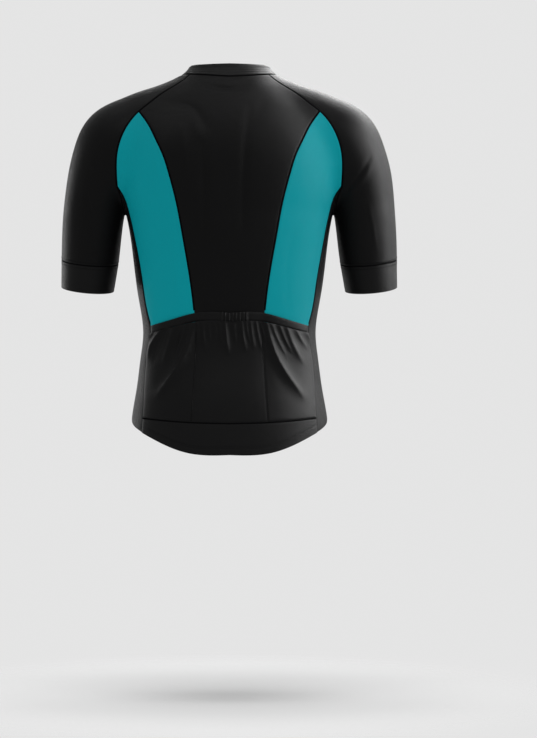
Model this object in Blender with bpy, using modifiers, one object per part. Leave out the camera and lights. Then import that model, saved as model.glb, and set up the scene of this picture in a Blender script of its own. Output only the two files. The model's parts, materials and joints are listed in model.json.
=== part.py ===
"""A short-sleeved cycling jersey in the hollow, rounded form that it has when it is worn.

Metres, +Z up. The wearer faces -Y and has their left side at +X. The origin is in the middle
of the neck opening, level with the shoulders at the collar seam.

Every panel is a thin wall laid on one garment form: a torso of oval sections filleted to two
tapered arms, all in the tables below. The seams are curves drawn on that form. Neighbouring
panels share the points of a seam and stand back from it by half the seam's gap.
"""

import math

import bmesh
import bpy
import numpy as np
from mathutils import Matrix, Vector

# The tables and sizes below are in millimetres, and the meshes are in metres.
MM = 0.001

WALL = 1.2
SEAM_GAP = 0.3
FIT_GAP = 0.3

# Torso sections. The depths run from the plane of the side seams to the back and the front.
TORSO_COLUMNS = ("height", "half_width", "back_depth", "front_depth")
TORSO_SECTIONS = (
    (60, 58, 50, 44),
    (20, 66, 55, 52),
    (0, 76, 64, 60),
    (-20, 93, 78, 70),
    (-40, 115, 89, 80),
    (-60, 140, 98, 89),
    (-90, 171, 108, 101),
    (-120, 191, 115, 110),
    (-160, 202, 119, 117),
    (-200, 202, 118, 121),
    (-228, 196, 116, 122),
    (-247, 190, 114, 122),
    (-262, 186.5, 113, 121),
    (-306, 179, 107, 119),
    (-349, 174, 101, 117),
    (-393, 168, 95, 114),
    (-430, 161, 90, 112),
    (-466, 157.5, 87, 111),
    (-510, 162, 91, 111),
    (-565, 169, 104, 110),
    (-611, 177, 114, 109),
    (-700, 183, 122, 108),
)
TORSO_SQUARENESS = 2.35

# Middle and radius of the left sleeve, from the base of the neck to below the cuff.
ARM_SECTIONS = (
    # out, aft, height, radius
    (60, -2, -49.5, 49),
    (82, 0, -56, 52),
    (115, 2, -69, 54.5),
    (149, 4, -83.5, 57.7),
    (179, 4, -98.5, 61),
    (205, 3, -116, 64.5),
    (221, 1, -144, 63.5),
    (233.5, -3, -180, 60.8),
    (242, -8, -214, 57.5),
    (249, -15, -262, 55.2),
    (254.3, -24, -320, 53.3),
    (259.3, -33, -379, 49.2),
    (262.6, -39, -415, 47),
)
ARM_SAMPLES = 80

# The fillet from a sleeve to the torso is tight below the first height, wide above the second.
FILLET_HEIGHTS = (-247, -165)
FILLET_WIDTHS = (8, 55)

# The collar's seam and top are ovals round the neck, by angle from the middle of the back.
NECK_COLUMNS = ("angle", "seam_height", "top_height")
NECK_RING = (
    (0, -5, 21),
    (45, -1, 20.3),
    (90, 1, 16.5),
    (135, -26, -4),
    (180, -60, -25),
)
NECK_SEAM_OVAL = {"half_width": 87, "half_depth": 75, "aft": -12}
NECK_TOP_OVAL = {"half_width": 73, "half_depth": 66, "aft": -15}
COLLAR_WALL = 2.0
COLLAR_HOLLOW = 2.0
RAGLAN_BACK_ANGLE = 53
RAGLAN_FRONT_ANGLE = 114

# Seams on the left half as they look from straight behind or in front: (out, height).
RAGLAN_BACK_UPPER = ((94, -15), (120, -31), (147, -52.5))
TIP = (163.5, -66)
RAGLAN_BACK_LOWER = ((182, -87), (197, -116.5), (204, -146), (205, -174))
BACK_CORNER = (203.5, -202)
ARMHOLE_BACK = ((198, -229),)
UNDERARM = (191.5, -4, -247)
ARMHOLE_FRONT = ((194, -228),)
FRONT_CORNER = (189, -201)
RAGLAN_FRONT = ((185, -170), (173, -136), (154, -104), (129, -72), (102, -40))
PRINCESS = (
    (148, -87),
    (133, -116),
    (119, -146),
    (109.6, -175),
    (94.6, -233),
    (84, -291),
    (73.7, -349),
    (65.5, -408),
    (60, -470),
    (56, -550),
    (54, -629),
)
SIDE_BACK = (
    (192.5, -218),
    (184.5, -240),
    (179, -262),
    (167.5, -320),
    (158, -379),
    (147.5, -437),
    (142, -462),
    (147, -500),
    (152.5, -550),
    (156, -621.5),
    (158, -647),
)
SIDE_FRONT = (
    (184, -228),
    (177, -262),
    (165, -320),
    (155, -393),
    (148, -466),
    (154, -545),
    (162, -609),
)
BAND_TOP = ((0, -629), (80, -627), (156, -621.5))
HEM_BACK = ((0, -685), (78, -681), (135, -659), (158, -647))
HEM_SIDE = (178, 0, -624)
HEM_FRONT = ((0, -588), (90, -594), (162, -609))

# Back pockets: heights of the upper edges by distance out, and the lines between the pockets.
POCKET_GAP = 0.5
POCKET_EASE = 1.6
POCKET_EASE_REACH = 14
ELASTIC_TOP = ((0, -430), (62, -430.5), (100, -441), (142, -454))
POCKET_TOP = ((0, -446), (62, -446.5), (100, -456), (142, -467))
DIVIDER = ((57, -440), (62, -530), (68, -629))
GATHER_PITCH = 6.8
GATHER_RISE = 0.6
GATHER_SPAN = (-34, 17)

# Soft folds that fall from the elastic, from one end to the other as seen from behind.
FOLD_COLUMNS = ("out", "height", "end_out", "end_height", "width", "rise")
POCKET_FOLDS = (
    (62, -452, 92, -522, 7.5, 4.2),
    (92, -522, 128, -574, 8.0, 5.0),
    (122, -464, 143, -500, 6.0, 3.2),
    (100, -460, 112, -512, 7.0, 1.6),
    (-64, -450, -92, -520, 7.0, 5.0),
    (-92, -520, -133, -572, 8.0, 5.2),
    (-103, -460, -129, -512, 7.0, 2.2),
    (-137, -466, -149, -487, 5.0, 2.0),
    (39, -450, 37, -486, 5.0, 1.8),
    (23, -450, 22, -480, 4.6, 1.5),
    (5, -450, 4, -492, 5.0, 2.3),
    (-11, -450, -14, -486, 4.6, 2.0),
    (-24, -450, -29, -482, 4.6, 1.8),
    (-40, -450, -43, -486, 5.0, 1.6),
)

# Heights of the sleeve's middle at the underarm point, at the cuff seam and at the cuff's end.
UNDERARM_RING = -250
CUFF_SEAM_RING = -338
CUFF_END_RING = -388
CUFF_PROUD = 0.4
BAND_PROUD = POCKET_GAP + WALL

# The zip's tape runs down the front to the hem, with its slider near the top of the collar.
ZIP_HALF_WIDTH = 5
ZIP_PROUD = 0.4
SLIDER_PLACE = 0.72
PLATE_WIDTH = 8.4
PLATE_LENGTH = 11
PLATE_WALL = 1.2
POST_WIDTH = 3.8
POST_LENGTH = 3.2
POST_RISE = 2.4
PIVOT_RISE = 1.1
BRIDGE_WIDTH = 2.0
BRIDGE_REACH = 1.9
BRIDGE_LEG = 1.1
BRIDGE_HEADROOM = 1.0
TAB_WIDTH = 7.0
TAB_LENGTH = 19.0
TAB_WALL = 1.2
TAB_HOLE_WIDTH = 3.0
TAB_HOLE_LENGTH = 3.6
OVERLAP = 0.3

# Rows and columns of quads in the walls.
RAGLAN_UPPER_ROWS = 5
RAGLAN_LOWER_ROWS = 6
ARMHOLE_ROWS = 3
SIDE_ROWS = 15
BAND_ROWS = 2
FOREARM_ROWS = 4
CUFF_ROWS = 2
COLLAR_ROWS = 3
POCKET_ROWS = 10
ELASTIC_ROWS = 2
BACK_COLUMNS = 12
BACK_SIDE_COLUMNS = 4
FRONT_COLUMNS = 7
SIDE_COLUMNS = 2 * ARMHOLE_ROWS
SLEEVE_COLUMNS = 18
COLLAR_COLUMNS_ON_SLEEVE = 6
SIDE_POCKET_COLUMNS = 16
MIDDLE_POCKET_COLUMNS = 26
ELASTIC_STEP = 6.5
ELASTIC_STEPS_PER_GATHER = 4

BLACK_KNIT = (0.012, 0.012, 0.013)
BLACK_BAND = (0.015, 0.015, 0.016)
TEAL_KNIT = (0.006, 0.235, 0.262)
ZIP_TAPE = (0.010, 0.010, 0.011)
ZIP_METAL = (0.050, 0.050, 0.053)


def unit(vectors):
    """Vectors scaled to a length of one."""
    return vectors / np.linalg.norm(vectors, axis=-1, keepdims=True)


def smooth_curve(knots, values):
    """A natural cubic spline through the values at the knots, held level beyond its ends."""
    order = np.argsort(knots)
    knots = np.asarray(knots, float)[order]
    values = np.asarray(values, float)[order]
    step = np.diff(knots)
    spread = (slice(None),) + (None,) * (values.ndim - 1)
    slope = np.diff(values, axis=0) / step[spread]
    matrix = np.eye(len(knots))
    right = np.zeros_like(values)
    for i in range(1, len(knots) - 1):
        matrix[i, i - 1 : i + 2] = step[i - 1], 2 * (step[i - 1] + step[i]), step[i]
        right[i] = 6 * (slope[i] - slope[i - 1])
    bend = np.linalg.solve(matrix, right)
    tail = (...,) + (None,) * (values.ndim - 1)

    def at(where):
        where = np.clip(np.asarray(where, float), knots[0], knots[-1])
        i = np.clip(np.searchsorted(knots, where) - 1, 0, len(step) - 1)
        after = (where - knots[i]) / step[i]
        before = 1 - after
        pull = step[i] ** 2 / 6
        return (
            before[tail] * values[i]
            + after[tail] * values[i + 1]
            + ((before**3 - before) * pull)[tail] * bend[i]
            + ((after**3 - after) * pull)[tail] * bend[i + 1]
        )

    return at


def table_curves(columns, rows):
    """A smooth curve for each column of a table, over the table's first column."""
    table = np.array(rows, float)
    return {name: smooth_curve(table[:, 0], table[:, i]) for i, name in enumerate(columns)}


def curve_through(points):
    """A smooth curve through points over the distance along them, and those distances."""
    points = np.asarray(points, float)
    steps = np.linalg.norm(np.diff(points, axis=0), axis=1)
    distances = np.concatenate([[0], np.cumsum(steps)])
    return smooth_curve(distances, points), distances


def level_curve(rows):
    """Height over distance out, for an edge that runs across the garment."""
    table = np.array(rows, float)
    curve = smooth_curve(table[:, 0], table[:, 1])
    return lambda out: curve(np.abs(out))


def falling_curve(rows):
    """Distance out over height, for a seam that runs down the garment."""
    table = np.array(rows, float)
    return smooth_curve(table[:, 1], table[:, 0])


TORSO = table_curves(TORSO_COLUMNS, TORSO_SECTIONS)
NECK = table_curves(NECK_COLUMNS, NECK_RING)
ARM, ARM_DISTANCES = curve_through(ARM_SECTIONS)
ARM_BEADS = ARM(np.linspace(0, ARM_DISTANCES[-1], ARM_SAMPLES))


def torso_distance(points):
    """How far points lie outside the torso's oval sections."""
    x, y, z = points.T
    depth = np.where(y > 0, TORSO["back_depth"](z), TORSO["front_depth"](z))
    power = TORSO_SQUARENESS
    swell = np.abs(x / TORSO["half_width"](z)) ** power + np.abs(y / depth) ** power
    return np.hypot(x, y) * (1 - np.maximum(swell, 1e-9) ** (-1 / power))


def arm_distance(points):
    """How far points lie outside the nearer arm, a close string of beads of changing radius."""
    folded = np.stack([np.abs(points[:, 0]), points[:, 1], points[:, 2]], axis=1)
    gaps = np.linalg.norm(folded[:, None] - ARM_BEADS[None, :, :3], axis=2) - ARM_BEADS[:, 3]
    nearest = np.clip(gaps.argmin(axis=1), 1, ARM_SAMPLES - 2)
    rows = np.arange(len(points))
    before, at, after = (gaps[rows, nearest + step] for step in (-1, 0, 1))
    curl = np.maximum(before - 2 * at + after, 1e-9)
    shift = np.clip((before - after) / (2 * curl), -1, 1)
    return at + shift * (after - before) / 2 + shift**2 * curl / 2


def form_distance(points):
    """How far points lie outside the garment form, the torso filleted to the arms."""
    torso = torso_distance(points)
    arm = arm_distance(points)
    fillet = np.interp(points[:, 2], FILLET_HEIGHTS, FILLET_WIDTHS)
    share = np.maximum(fillet - np.abs(torso - arm), 0) / fillet
    return np.minimum(torso, arm) - share**3 * fillet / 6


def slope_of(measure, points):
    """The gradient of a measure of points."""
    reach = 0.4
    slopes = []
    for axis in np.eye(3) * reach:
        slopes.append((measure(points + axis) - measure(points - axis)) / (2 * reach))
    return np.stack(slopes, axis=1)


def outward(points):
    """Unit normals of the form at points in an array of any shape."""
    slope = slope_of(form_distance, np.reshape(points, (-1, 3)))
    return unit(slope).reshape(np.shape(points))


def settle(points):
    """Points moved along the form's normals until they lie on it."""
    flat = np.reshape(points, (-1, 3)).astype(float)
    for _ in range(8):
        slope = slope_of(form_distance, flat)
        flat -= form_distance(flat)[:, None] * slope / (slope**2).sum(axis=1, keepdims=True)
    return flat.reshape(np.shape(points))


def crease_distance(points):
    """How much nearer to the arm than to the torso points lie."""
    return torso_distance(points) - arm_distance(points)


def settle_in_crease(points):
    """Points moved to the line on the form where the torso and the arm meet."""
    for _ in range(12):
        offsets = np.stack([form_distance(points), crease_distance(points)], axis=1)
        slopes = [slope_of(measure, points) for measure in (form_distance, crease_distance)]
        steps = np.linalg.pinv(np.stack(slopes, axis=1))
        points = points - np.einsum("nij,nj->ni", steps, offsets)
    return points


def cast(starts, directions, reach):
    """Where rays from inside the form first meet it."""
    steps = 90
    near = np.zeros(len(starts))
    far = np.full(len(starts), float(reach))
    found = np.zeros(len(starts), bool)
    for i in range(1, steps + 1):
        distance = reach * i / steps
        outside = form_distance(starts + distance * directions) >= 0
        far = np.where(outside & ~found, distance, far)
        found |= outside
        near = np.where(found, near, distance)
    for _ in range(26):
        middle = (near + far) / 2
        inside = form_distance(starts + middle[:, None] * directions) < 0
        near = np.where(inside, middle, near)
        far = np.where(inside, far, middle)
    return starts + near[:, None] * directions


def lift(flat_points, side):
    """Points (out, height) moved onto the back of the form, side 1, or its front, side -1."""
    flat_points = np.reshape(np.asarray(flat_points, float), (-1, 2))
    starts = np.insert(flat_points, 1, 0.0, axis=1)
    directions = np.tile([0.0, side, 0.0], (len(starts), 1))
    return cast(starts, directions, 180)


def mirrored(points):
    """The same points on the wearer's other side."""
    return points * (-1, 1, 1)


def neck_oval(angles, oval, heights):
    """Points of an oval round the neck, by angle from the middle of the back."""
    turn = np.radians(angles)
    across = oval["half_width"] * np.sin(turn)
    aft = oval["aft"] + oval["half_depth"] * np.cos(turn)
    return np.stack([across, aft, heights], axis=1)


def neck_seam(angles):
    """Points of the collar seam, on the form."""
    angles = np.atleast_1d(angles)
    return settle(neck_oval(angles, NECK_SEAM_OVAL, NECK["seam_height"](np.abs(angles))))


def front_angle(oval):
    """The angle at which an oval round the neck reaches the edge of the zip."""
    return 180 - math.degrees(math.asin(ZIP_HALF_WIDTH / oval["half_width"]))


def neck_top(angles):
    """Points of the collar's upper edge, above the given angles of its seam."""
    angles = np.atleast_1d(angles)
    outer = np.abs(angles) / front_angle(NECK_SEAM_OVAL)
    scale = 1 + (front_angle(NECK_TOP_OVAL) / front_angle(NECK_SEAM_OVAL) - 1) * (outer <= 1)
    angles = angles * scale
    return neck_oval(angles, NECK_TOP_OVAL, NECK["top_height"](np.abs(angles)))


def collar_point(angles, rise):
    """Points of the collar's outer face, by angle and by rise from its seam (0) to its top (1)."""
    seam = neck_seam(angles)
    top = neck_top(angles)
    inward = -neck_oval(angles, {"half_width": 1, "half_depth": 1, "aft": 0}, 0 * seam[:, 0])
    hollow = COLLAR_HOLLOW * (1 + np.cos(np.radians(angles))) / 2 * math.sin(math.pi * rise)
    return seam + (top - seam) * rise + inward * hollow[:, None]


def draw_armhole():
    """The left sleeve's seam in five runs, each from the top down."""
    back, front = (neck_seam(angle) for angle in (RAGLAN_BACK_ANGLE, RAGLAN_FRONT_ANGLE))
    underarm = settle_in_crease(np.array([UNDERARM], float))
    front_rows = RAGLAN_UPPER_ROWS + RAGLAN_LOWER_ROWS
    runs = (
        ("raglan_upper", RAGLAN_UPPER_ROWS, (back, lift(RAGLAN_BACK_UPPER, 1))),
        ("raglan_lower", RAGLAN_LOWER_ROWS, (lift(TIP, 1), lift(RAGLAN_BACK_LOWER, 1))),
        ("armhole_back", ARMHOLE_ROWS, (lift(BACK_CORNER, 1), lift(ARMHOLE_BACK, 1))),
        ("armhole_front", ARMHOLE_ROWS, (underarm, lift(ARMHOLE_FRONT, -1))),
        ("raglan_front", front_rows, (lift(FRONT_CORNER, -1), lift(RAGLAN_FRONT, -1))),
    )
    loop = np.concatenate([points for run in runs for points in run[2]] + [front])
    curve, distances = curve_through(loop)
    seams = {}
    start = 0
    for name, rows, points in runs:
        end = start + sum(len(part) for part in points)
        places = np.linspace(distances[start], distances[end], rows + 1)
        seams[name] = settle(curve(places))
        start = end
    for name, rows in (("armhole_back", slice(1, None)), ("armhole_front", slice(0, -1))):
        seams[name][rows] = settle_in_crease(seams[name][rows])
    for name in ("armhole_front", "raglan_front"):
        seams[name] = seams[name][::-1]
    return seams


def draw_seams():
    """The points of every seam on the left half, each from the top down."""
    seams = draw_armhole()
    side_back = falling_curve((BACK_CORNER,) + SIDE_BACK)
    side_front = falling_curve((FRONT_CORNER,) + SIDE_FRONT)
    princess = falling_curve((TIP,) + PRINCESS)

    heights = np.linspace(BACK_CORNER[1], BAND_TOP[-1][1], SIDE_ROWS + 1)
    seams["side_back"] = lift(np.stack([side_back(heights), heights], axis=1), 1)
    heights = np.linspace(BAND_TOP[-1][1], HEM_BACK[-1][1], BAND_ROWS + 1)
    seams["band_side"] = lift(np.stack([side_back(heights), heights], axis=1), 1)
    heights = np.linspace(FRONT_CORNER[1], HEM_FRONT[-1][1], SIDE_ROWS + BAND_ROWS + 1)
    seams["side_front"] = lift(np.stack([side_front(heights), heights], axis=1), -1)
    seams["side_back"][0] = seams["raglan_lower"][-1]
    seams["side_front"][0] = seams["raglan_front"][-1]

    foot = level_curve(BAND_TOP)(PRINCESS[-1][0])
    lower = np.linspace(BACK_CORNER[1], foot, SIDE_ROWS + 1)
    heights = np.concatenate([seams["raglan_lower"][:-1, 2], lower])
    seams["princess"] = lift(np.stack([princess(heights), heights], axis=1), 1)
    seams["princess"][0] = seams["raglan_lower"][0]

    top = neck_seam(front_angle(NECK_SEAM_OVAL))
    foot = level_curve(HEM_FRONT)(ZIP_HALF_WIDTH)
    rows = RAGLAN_UPPER_ROWS + RAGLAN_LOWER_ROWS + SIDE_ROWS + BAND_ROWS
    heights = np.linspace(top[0, 2], foot, rows + 1)
    out = np.full(rows + 1, float(ZIP_HALF_WIDTH))
    seams["zip_edge"] = lift(np.stack([out, heights], axis=1), -1)
    seams["zip_edge"][0] = top[0]

    inner, outer = PRINCESS[-1][0], BAND_TOP[-1][0]
    middle = np.linspace(inner, -inner, BACK_COLUMNS + 1)
    beside = np.linspace(outer, inner, BACK_SIDE_COLUMNS + 1)[:-1]
    out = np.concatenate([beside, middle, -beside[::-1]])
    seams["band_top"] = lift(np.stack([out, level_curve(BAND_TOP)(out)], axis=1), 1)
    return seams


def patch(top, bottom, left, right):
    """A grid of points on the form between four edges that meet at their ends."""
    across = np.linspace(0, 1, len(top))[None, :, None]
    down = np.linspace(0, 1, len(left))[:, None, None]
    upper = (1 - across) * top[0] + across * top[-1]
    lower = (1 - across) * bottom[0] + across * bottom[-1]
    grid = (1 - down) * (top - upper) + down * (bottom - lower)
    grid = grid + (1 - across) * left[:, None] + across * right[:, None]
    grid[1:-1, 1:-1] = settle(grid[1:-1, 1:-1])
    return grid


def stand_back(grid, edges=("top", "bottom", "left", "right")):
    """The grid with the named edges moved back from their seams by half the seam gap."""
    moved = grid.copy()
    places = {"top": (0, 0, 1), "bottom": (0, -1, -2), "left": (1, 0, 1), "right": (1, -1, -2)}
    for name in edges:
        axis, edge, inner = places[name]
        source = grid.swapaxes(0, axis)
        along = unit(np.gradient(source[edge], axis=0))
        inward = source[inner] - source[edge]
        inward = inward - (inward * along).sum(axis=1, keepdims=True) * along
        moved.swapaxes(0, axis)[edge] += unit(inward) * SEAM_GAP / 2
    return moved


def grid_normals(grid):
    """Unit normals of a grid of points, outward where its columns run to the left of the back."""
    down = np.gradient(grid, axis=0)
    across = np.gradient(grid, axis=1)
    return unit(np.cross(across, down))


def material_of(name, colour, roughness, metallic):
    """A material of one colour."""
    material = bpy.data.materials.new(name)
    material.use_nodes = True
    material.diffuse_color = (*colour, 1)
    surface = material.node_tree.nodes["Principled BSDF"]
    surface.inputs["Base Color"].default_value = (*colour, 1)
    surface.inputs["Roughness"].default_value = roughness
    surface.inputs["Metallic"].default_value = metallic
    return material


def add_wall(name, outer, inner, colour, roughness=0.8):
    """A closed wall between an outer and an inner grid of points, with its own material."""
    rows, columns = outer.shape[:2]
    mesh = bmesh.new()
    faces = []
    for grid in (outer, inner):
        faces.append([[mesh.verts.new(point * MM) for point in row] for row in grid])
    for face in faces:
        for i in range(rows - 1):
            for j in range(columns - 1):
                mesh.faces.new((face[i][j], face[i + 1][j], face[i + 1][j + 1], face[i][j + 1]))
    rim = [(0, j) for j in range(columns)]
    rim += [(i, columns - 1) for i in range(1, rows)]
    rim += [(rows - 1, j) for j in range(columns - 2, -1, -1)]
    rim += [(i, 0) for i in range(rows - 2, 0, -1)]
    for (i, j), (k, m) in zip(rim, rim[1:] + rim[:1]):
        mesh.faces.new((faces[0][i][j], faces[0][k][m], faces[1][k][m], faces[1][i][j]))
    bmesh.ops.triangulate(mesh, faces=mesh.faces, quad_method="SHORT_EDGE")
    bmesh.ops.recalc_face_normals(mesh, faces=mesh.faces)
    data = bpy.data.meshes.new(name)
    mesh.to_mesh(data)
    mesh.free()
    data.shade_smooth()
    data.set_sharp_from_angle(angle=math.radians(50))
    data.materials.append(material_of(name, colour, roughness, 0.0))
    wall = bpy.data.objects.new(name, data)
    bpy.data.collections["cycling_jersey"].objects.link(wall)
    return wall


def add_panel(name, grid, colour, proud=0.0):
    """A wall on the form, a wall's thickness deep and as proud of the form as given."""
    normals = outward(grid)
    return add_wall(name, grid + normals * proud, grid - normals * WALL, colour)


def add_pair(name, grid, colour, proud=0.0):
    """A panel on the wearer's left and its twin on their right."""
    add_panel(f"{name}_left", grid, colour, proud)
    add_panel(f"{name}_right", mirrored(grid), colour, proud)


def back_panels(seams):
    """The middle of the back, and the coloured panels beside it, down to the hem band."""
    angles = np.linspace(RAGLAN_BACK_ANGLE, -RAGLAN_BACK_ANGLE, BACK_COLUMNS + 1)
    edge = np.concatenate([seams["raglan_upper"], seams["princess"][1:]])
    foot = seams["band_top"][BACK_SIDE_COLUMNS : BACK_SIDE_COLUMNS + BACK_COLUMNS + 1]
    middle = patch(neck_seam(angles), foot, edge, mirrored(edge))
    add_panel("back_centre", stand_back(middle), BLACK_KNIT)

    outer = np.concatenate([seams["raglan_lower"], seams["side_back"][1:]])
    inner = seams["princess"].copy()
    outer[0] += (outer[1] - outer[0]) * 0.12
    inner[0] += (inner[1] - inner[0]) * 0.12
    head = outer[0] + np.linspace(0, 1, BACK_SIDE_COLUMNS + 1)[:, None] * (inner[0] - outer[0])
    beside = patch(head, seams["band_top"][: BACK_SIDE_COLUMNS + 1], outer, inner)
    add_pair("back_side", stand_back(beside), TEAL_KNIT)


def side_panels(seams):
    """The panels under the arms, from the armhole to the hem."""
    head = np.concatenate([seams["armhole_back"], seams["armhole_front"][-2::-1]])
    back = np.concatenate([seams["side_back"], seams["band_side"][1:]])
    front = seams["side_front"]
    curve, distances = curve_through([back[-1], settle(np.array(HEM_SIDE, float)), front[-1]])
    foot = settle(curve(np.linspace(0, distances[-1], SIDE_COLUMNS + 1)))
    foot[0], foot[-1] = back[-1], front[-1]
    add_pair("side", stand_back(patch(head, foot, back, front)), BLACK_KNIT)


def front_panels(seams):
    """The two fronts, from the collar seam to the hem and from the side seams to the zip."""
    angles = np.linspace(RAGLAN_FRONT_ANGLE, front_angle(NECK_SEAM_OVAL), FRONT_COLUMNS + 1)
    side = np.concatenate([seams["raglan_front"], seams["side_front"][1:]])
    out = np.linspace(HEM_FRONT[-1][0], ZIP_HALF_WIDTH, FRONT_COLUMNS + 1)
    foot = lift(np.stack([out, level_curve(HEM_FRONT)(out)], axis=1), -1)
    front = patch(neck_seam(angles), foot, side, seams["zip_edge"])
    add_pair("front", stand_back(front), BLACK_KNIT)


def arm_place(height):
    """The distance along the arm at which its middle has a height."""
    places = np.linspace(0, ARM_DISTANCES[-1], ARM_SAMPLES)
    return np.interp(-height, -ARM_BEADS[:, 2], places)


def arm_frame(place):
    """The middle of the arm at a place, and its axes: along it, over it and aft."""
    along = unit(ARM(place + 1)[:3] - ARM(place - 1)[:3])
    over = unit(np.cross(along, (0, 1, 0)))
    return ARM(place)[:3], along, over, np.cross(over, along)


def arm_bearing(place, point, side):
    """The turn about the arm from its upper side to a point, and how steeply it leads along.

    The turn is positive towards the back, side 1, and negative towards the front, side -1.
    """
    centre, along, over, aft = arm_frame(place)
    offset = point - centre
    turn = math.atan2(offset @ aft, offset @ over)
    turn = turn % math.tau if side > 0 else -(-turn % math.tau)
    return turn, offset @ along / math.hypot(offset @ aft, offset @ over)


def arm_ring(place, back, front):
    """Points round the arm from its back seam, over its upper side, to its front seam."""
    centre, along, over, aft = arm_frame(place)
    turns = np.linspace(back[0], front[0], SLEEVE_COLUMNS + 1)
    seam = np.where((turns > 0)[:, None], back, front)
    lead = seam[:, 1] * (turns / seam[:, 0]) ** 2
    directions = np.outer(np.cos(turns), over) + np.outer(np.sin(turns), aft)
    directions = unit(directions + np.outer(lead, along))
    return cast(np.tile(centre, (len(turns), 1)), directions, 130)


def sleeves_and_cuffs(seams):
    """The raglan sleeves, and the band at the end of each."""
    back = np.concatenate(
        [seams["raglan_upper"], seams["raglan_lower"][1:], seams["armhole_back"][1:]]
    )
    front = np.concatenate([seams["raglan_front"], seams["armhole_front"][1:]])
    angles = np.linspace(RAGLAN_BACK_ANGLE, RAGLAN_FRONT_ANGLE, SLEEVE_COLUMNS + 1)
    rows = [neck_seam(angles)]
    underarm, cuff_seam, cuff_end = map(arm_place, (UNDERARM_RING, CUFF_SEAM_RING, CUFF_END_RING))
    places = np.linspace(ARM_DISTANCES[1], underarm, len(back))
    for place, at_back, at_front in list(zip(places, back, front))[1:]:
        seam_ends = arm_bearing(place, at_back, 1), arm_bearing(place, at_front, -1)
        row = arm_ring(place, *seam_ends)
        row[0], row[-1] = at_back, at_front
        rows.append(row)
    for share in np.linspace(0, 1, FOREARM_ROWS + 1)[1:]:
        ends = [(turn, lead * (1 - share)) for turn, lead in seam_ends]
        rows.append(arm_ring(underarm + (cuff_seam - underarm) * share, *ends))
    add_pair("sleeve", stand_back(np.array(rows)), BLACK_KNIT)

    ends = [(turn, 0.0) for turn, _ in seam_ends]
    places = np.linspace(cuff_seam, cuff_end, CUFF_ROWS + 1)
    cuff = np.array([arm_ring(place, *ends) for place in places])
    add_pair("cuff", stand_back(cuff, ("top", "left", "right")), BLACK_BAND, CUFF_PROUD)


def collar():
    """The standing collar, open at the zip, in columns that meet those of the panels."""
    front = front_angle(NECK_SEAM_OVAL)
    over_sleeve = np.linspace(RAGLAN_BACK_ANGLE, RAGLAN_FRONT_ANGLE, COLLAR_COLUMNS_ON_SLEEVE + 1)
    over_front = np.linspace(RAGLAN_FRONT_ANGLE, front, FRONT_COLUMNS + 1)
    side = np.concatenate([over_sleeve[1:], over_front[1:]])
    back = np.linspace(-RAGLAN_BACK_ANGLE, RAGLAN_BACK_ANGLE, BACK_COLUMNS + 1)
    angles = np.concatenate([-side[::-1], back, side])
    outer = np.array([collar_point(angles, rise) for rise in np.linspace(1, 0, COLLAR_ROWS + 1)])
    outer[-1] += unit(outer[-2] - outer[-1]) * SEAM_GAP
    outer = stand_back(outer, ("left", "right"))
    inner = outer - grid_normals(outer) * COLLAR_WALL
    add_wall("collar", outer, inner, BLACK_BAND)


def fold_rise(out, height):
    """How far the folds push the pockets' cloth out at places seen from behind."""
    rise = np.zeros(np.shape(out))
    for row in POCKET_FOLDS:
        fold = dict(zip(FOLD_COLUMNS, row))
        run_out, run_down = fold["end_out"] - fold["out"], fold["end_height"] - fold["height"]
        length = math.hypot(run_out, run_down)
        beside, below = out - fold["out"], height - fold["height"]
        along = (beside * run_out + below * run_down) / length**2
        across = (beside * run_down - below * run_out) / length
        fade = np.clip(np.minimum(along + 0.25, 1.25 - along) / 0.45, 0, 1)
        fade = fade**2 * (3 - 2 * fade)
        rise = np.maximum(rise, fold["rise"] * fade * np.exp(-((across / fold["width"]) ** 2)))
    return rise


def pocket_slack(out, height):
    """How far the pockets stand off the back, most at their mouths and between the dividers."""
    side = falling_curve((BACK_CORNER,) + SIDE_BACK)(height)
    divider = falling_curve(DIVIDER)(height)
    nearest = np.minimum(np.abs(np.abs(out) - divider), side - np.abs(out))
    middle = 1 - np.exp(-((nearest / POCKET_EASE_REACH) ** 2))
    foot, mouth = BAND_TOP[0][1], POCKET_TOP[0][1]
    return POCKET_EASE * middle * np.clip((height - foot) / (mouth - foot), 0, 1)


def add_over_back(name, out, height, extra, colour, edges):
    """A wall over the back panels at places seen from behind, pushed out by an extra rise."""
    places = np.stack([out, height], axis=-1)
    grid = stand_back(lift(places, 1).reshape(*out.shape, 3), edges)
    normals = outward(grid)
    inner = grid + normals * (POCKET_GAP + pocket_slack(out, height) + extra)[..., None]
    return add_wall(name, inner + normals * WALL, inner, colour)


def pockets():
    """Three open-topped pockets side by side on the lower back."""
    side = falling_curve((BACK_CORNER,) + SIDE_BACK)
    divider = falling_curve(DIVIDER)
    spans = (
        ("pocket_left", SIDE_POCKET_COLUMNS, (1, side), (1, divider)),
        ("pocket_centre", MIDDLE_POCKET_COLUMNS, (1, divider), (-1, divider)),
        ("pocket_right", SIDE_POCKET_COLUMNS, (-1, divider), (-1, side)),
    )
    top, foot = level_curve(POCKET_TOP), level_curve(BAND_TOP)
    down = np.linspace(0, 1, POCKET_ROWS + 1)[:, None]
    for name, columns, (start_side, start), (end_side, end) in spans:
        across = np.linspace(0, 1, columns + 1)[None]
        height = POCKET_TOP[1][1] * (1 - down) + BAND_TOP[0][1] * down + 0 * across
        for _ in range(4):
            out = start_side * start(height) * (1 - across) + end_side * end(height) * across
            height = top(out) * (1 - down) + foot(out) * down
        edges = ("top", "bottom", "left", "right")
        add_over_back(name, out, height, fold_rise(out, height), BLACK_KNIT, edges)


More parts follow.
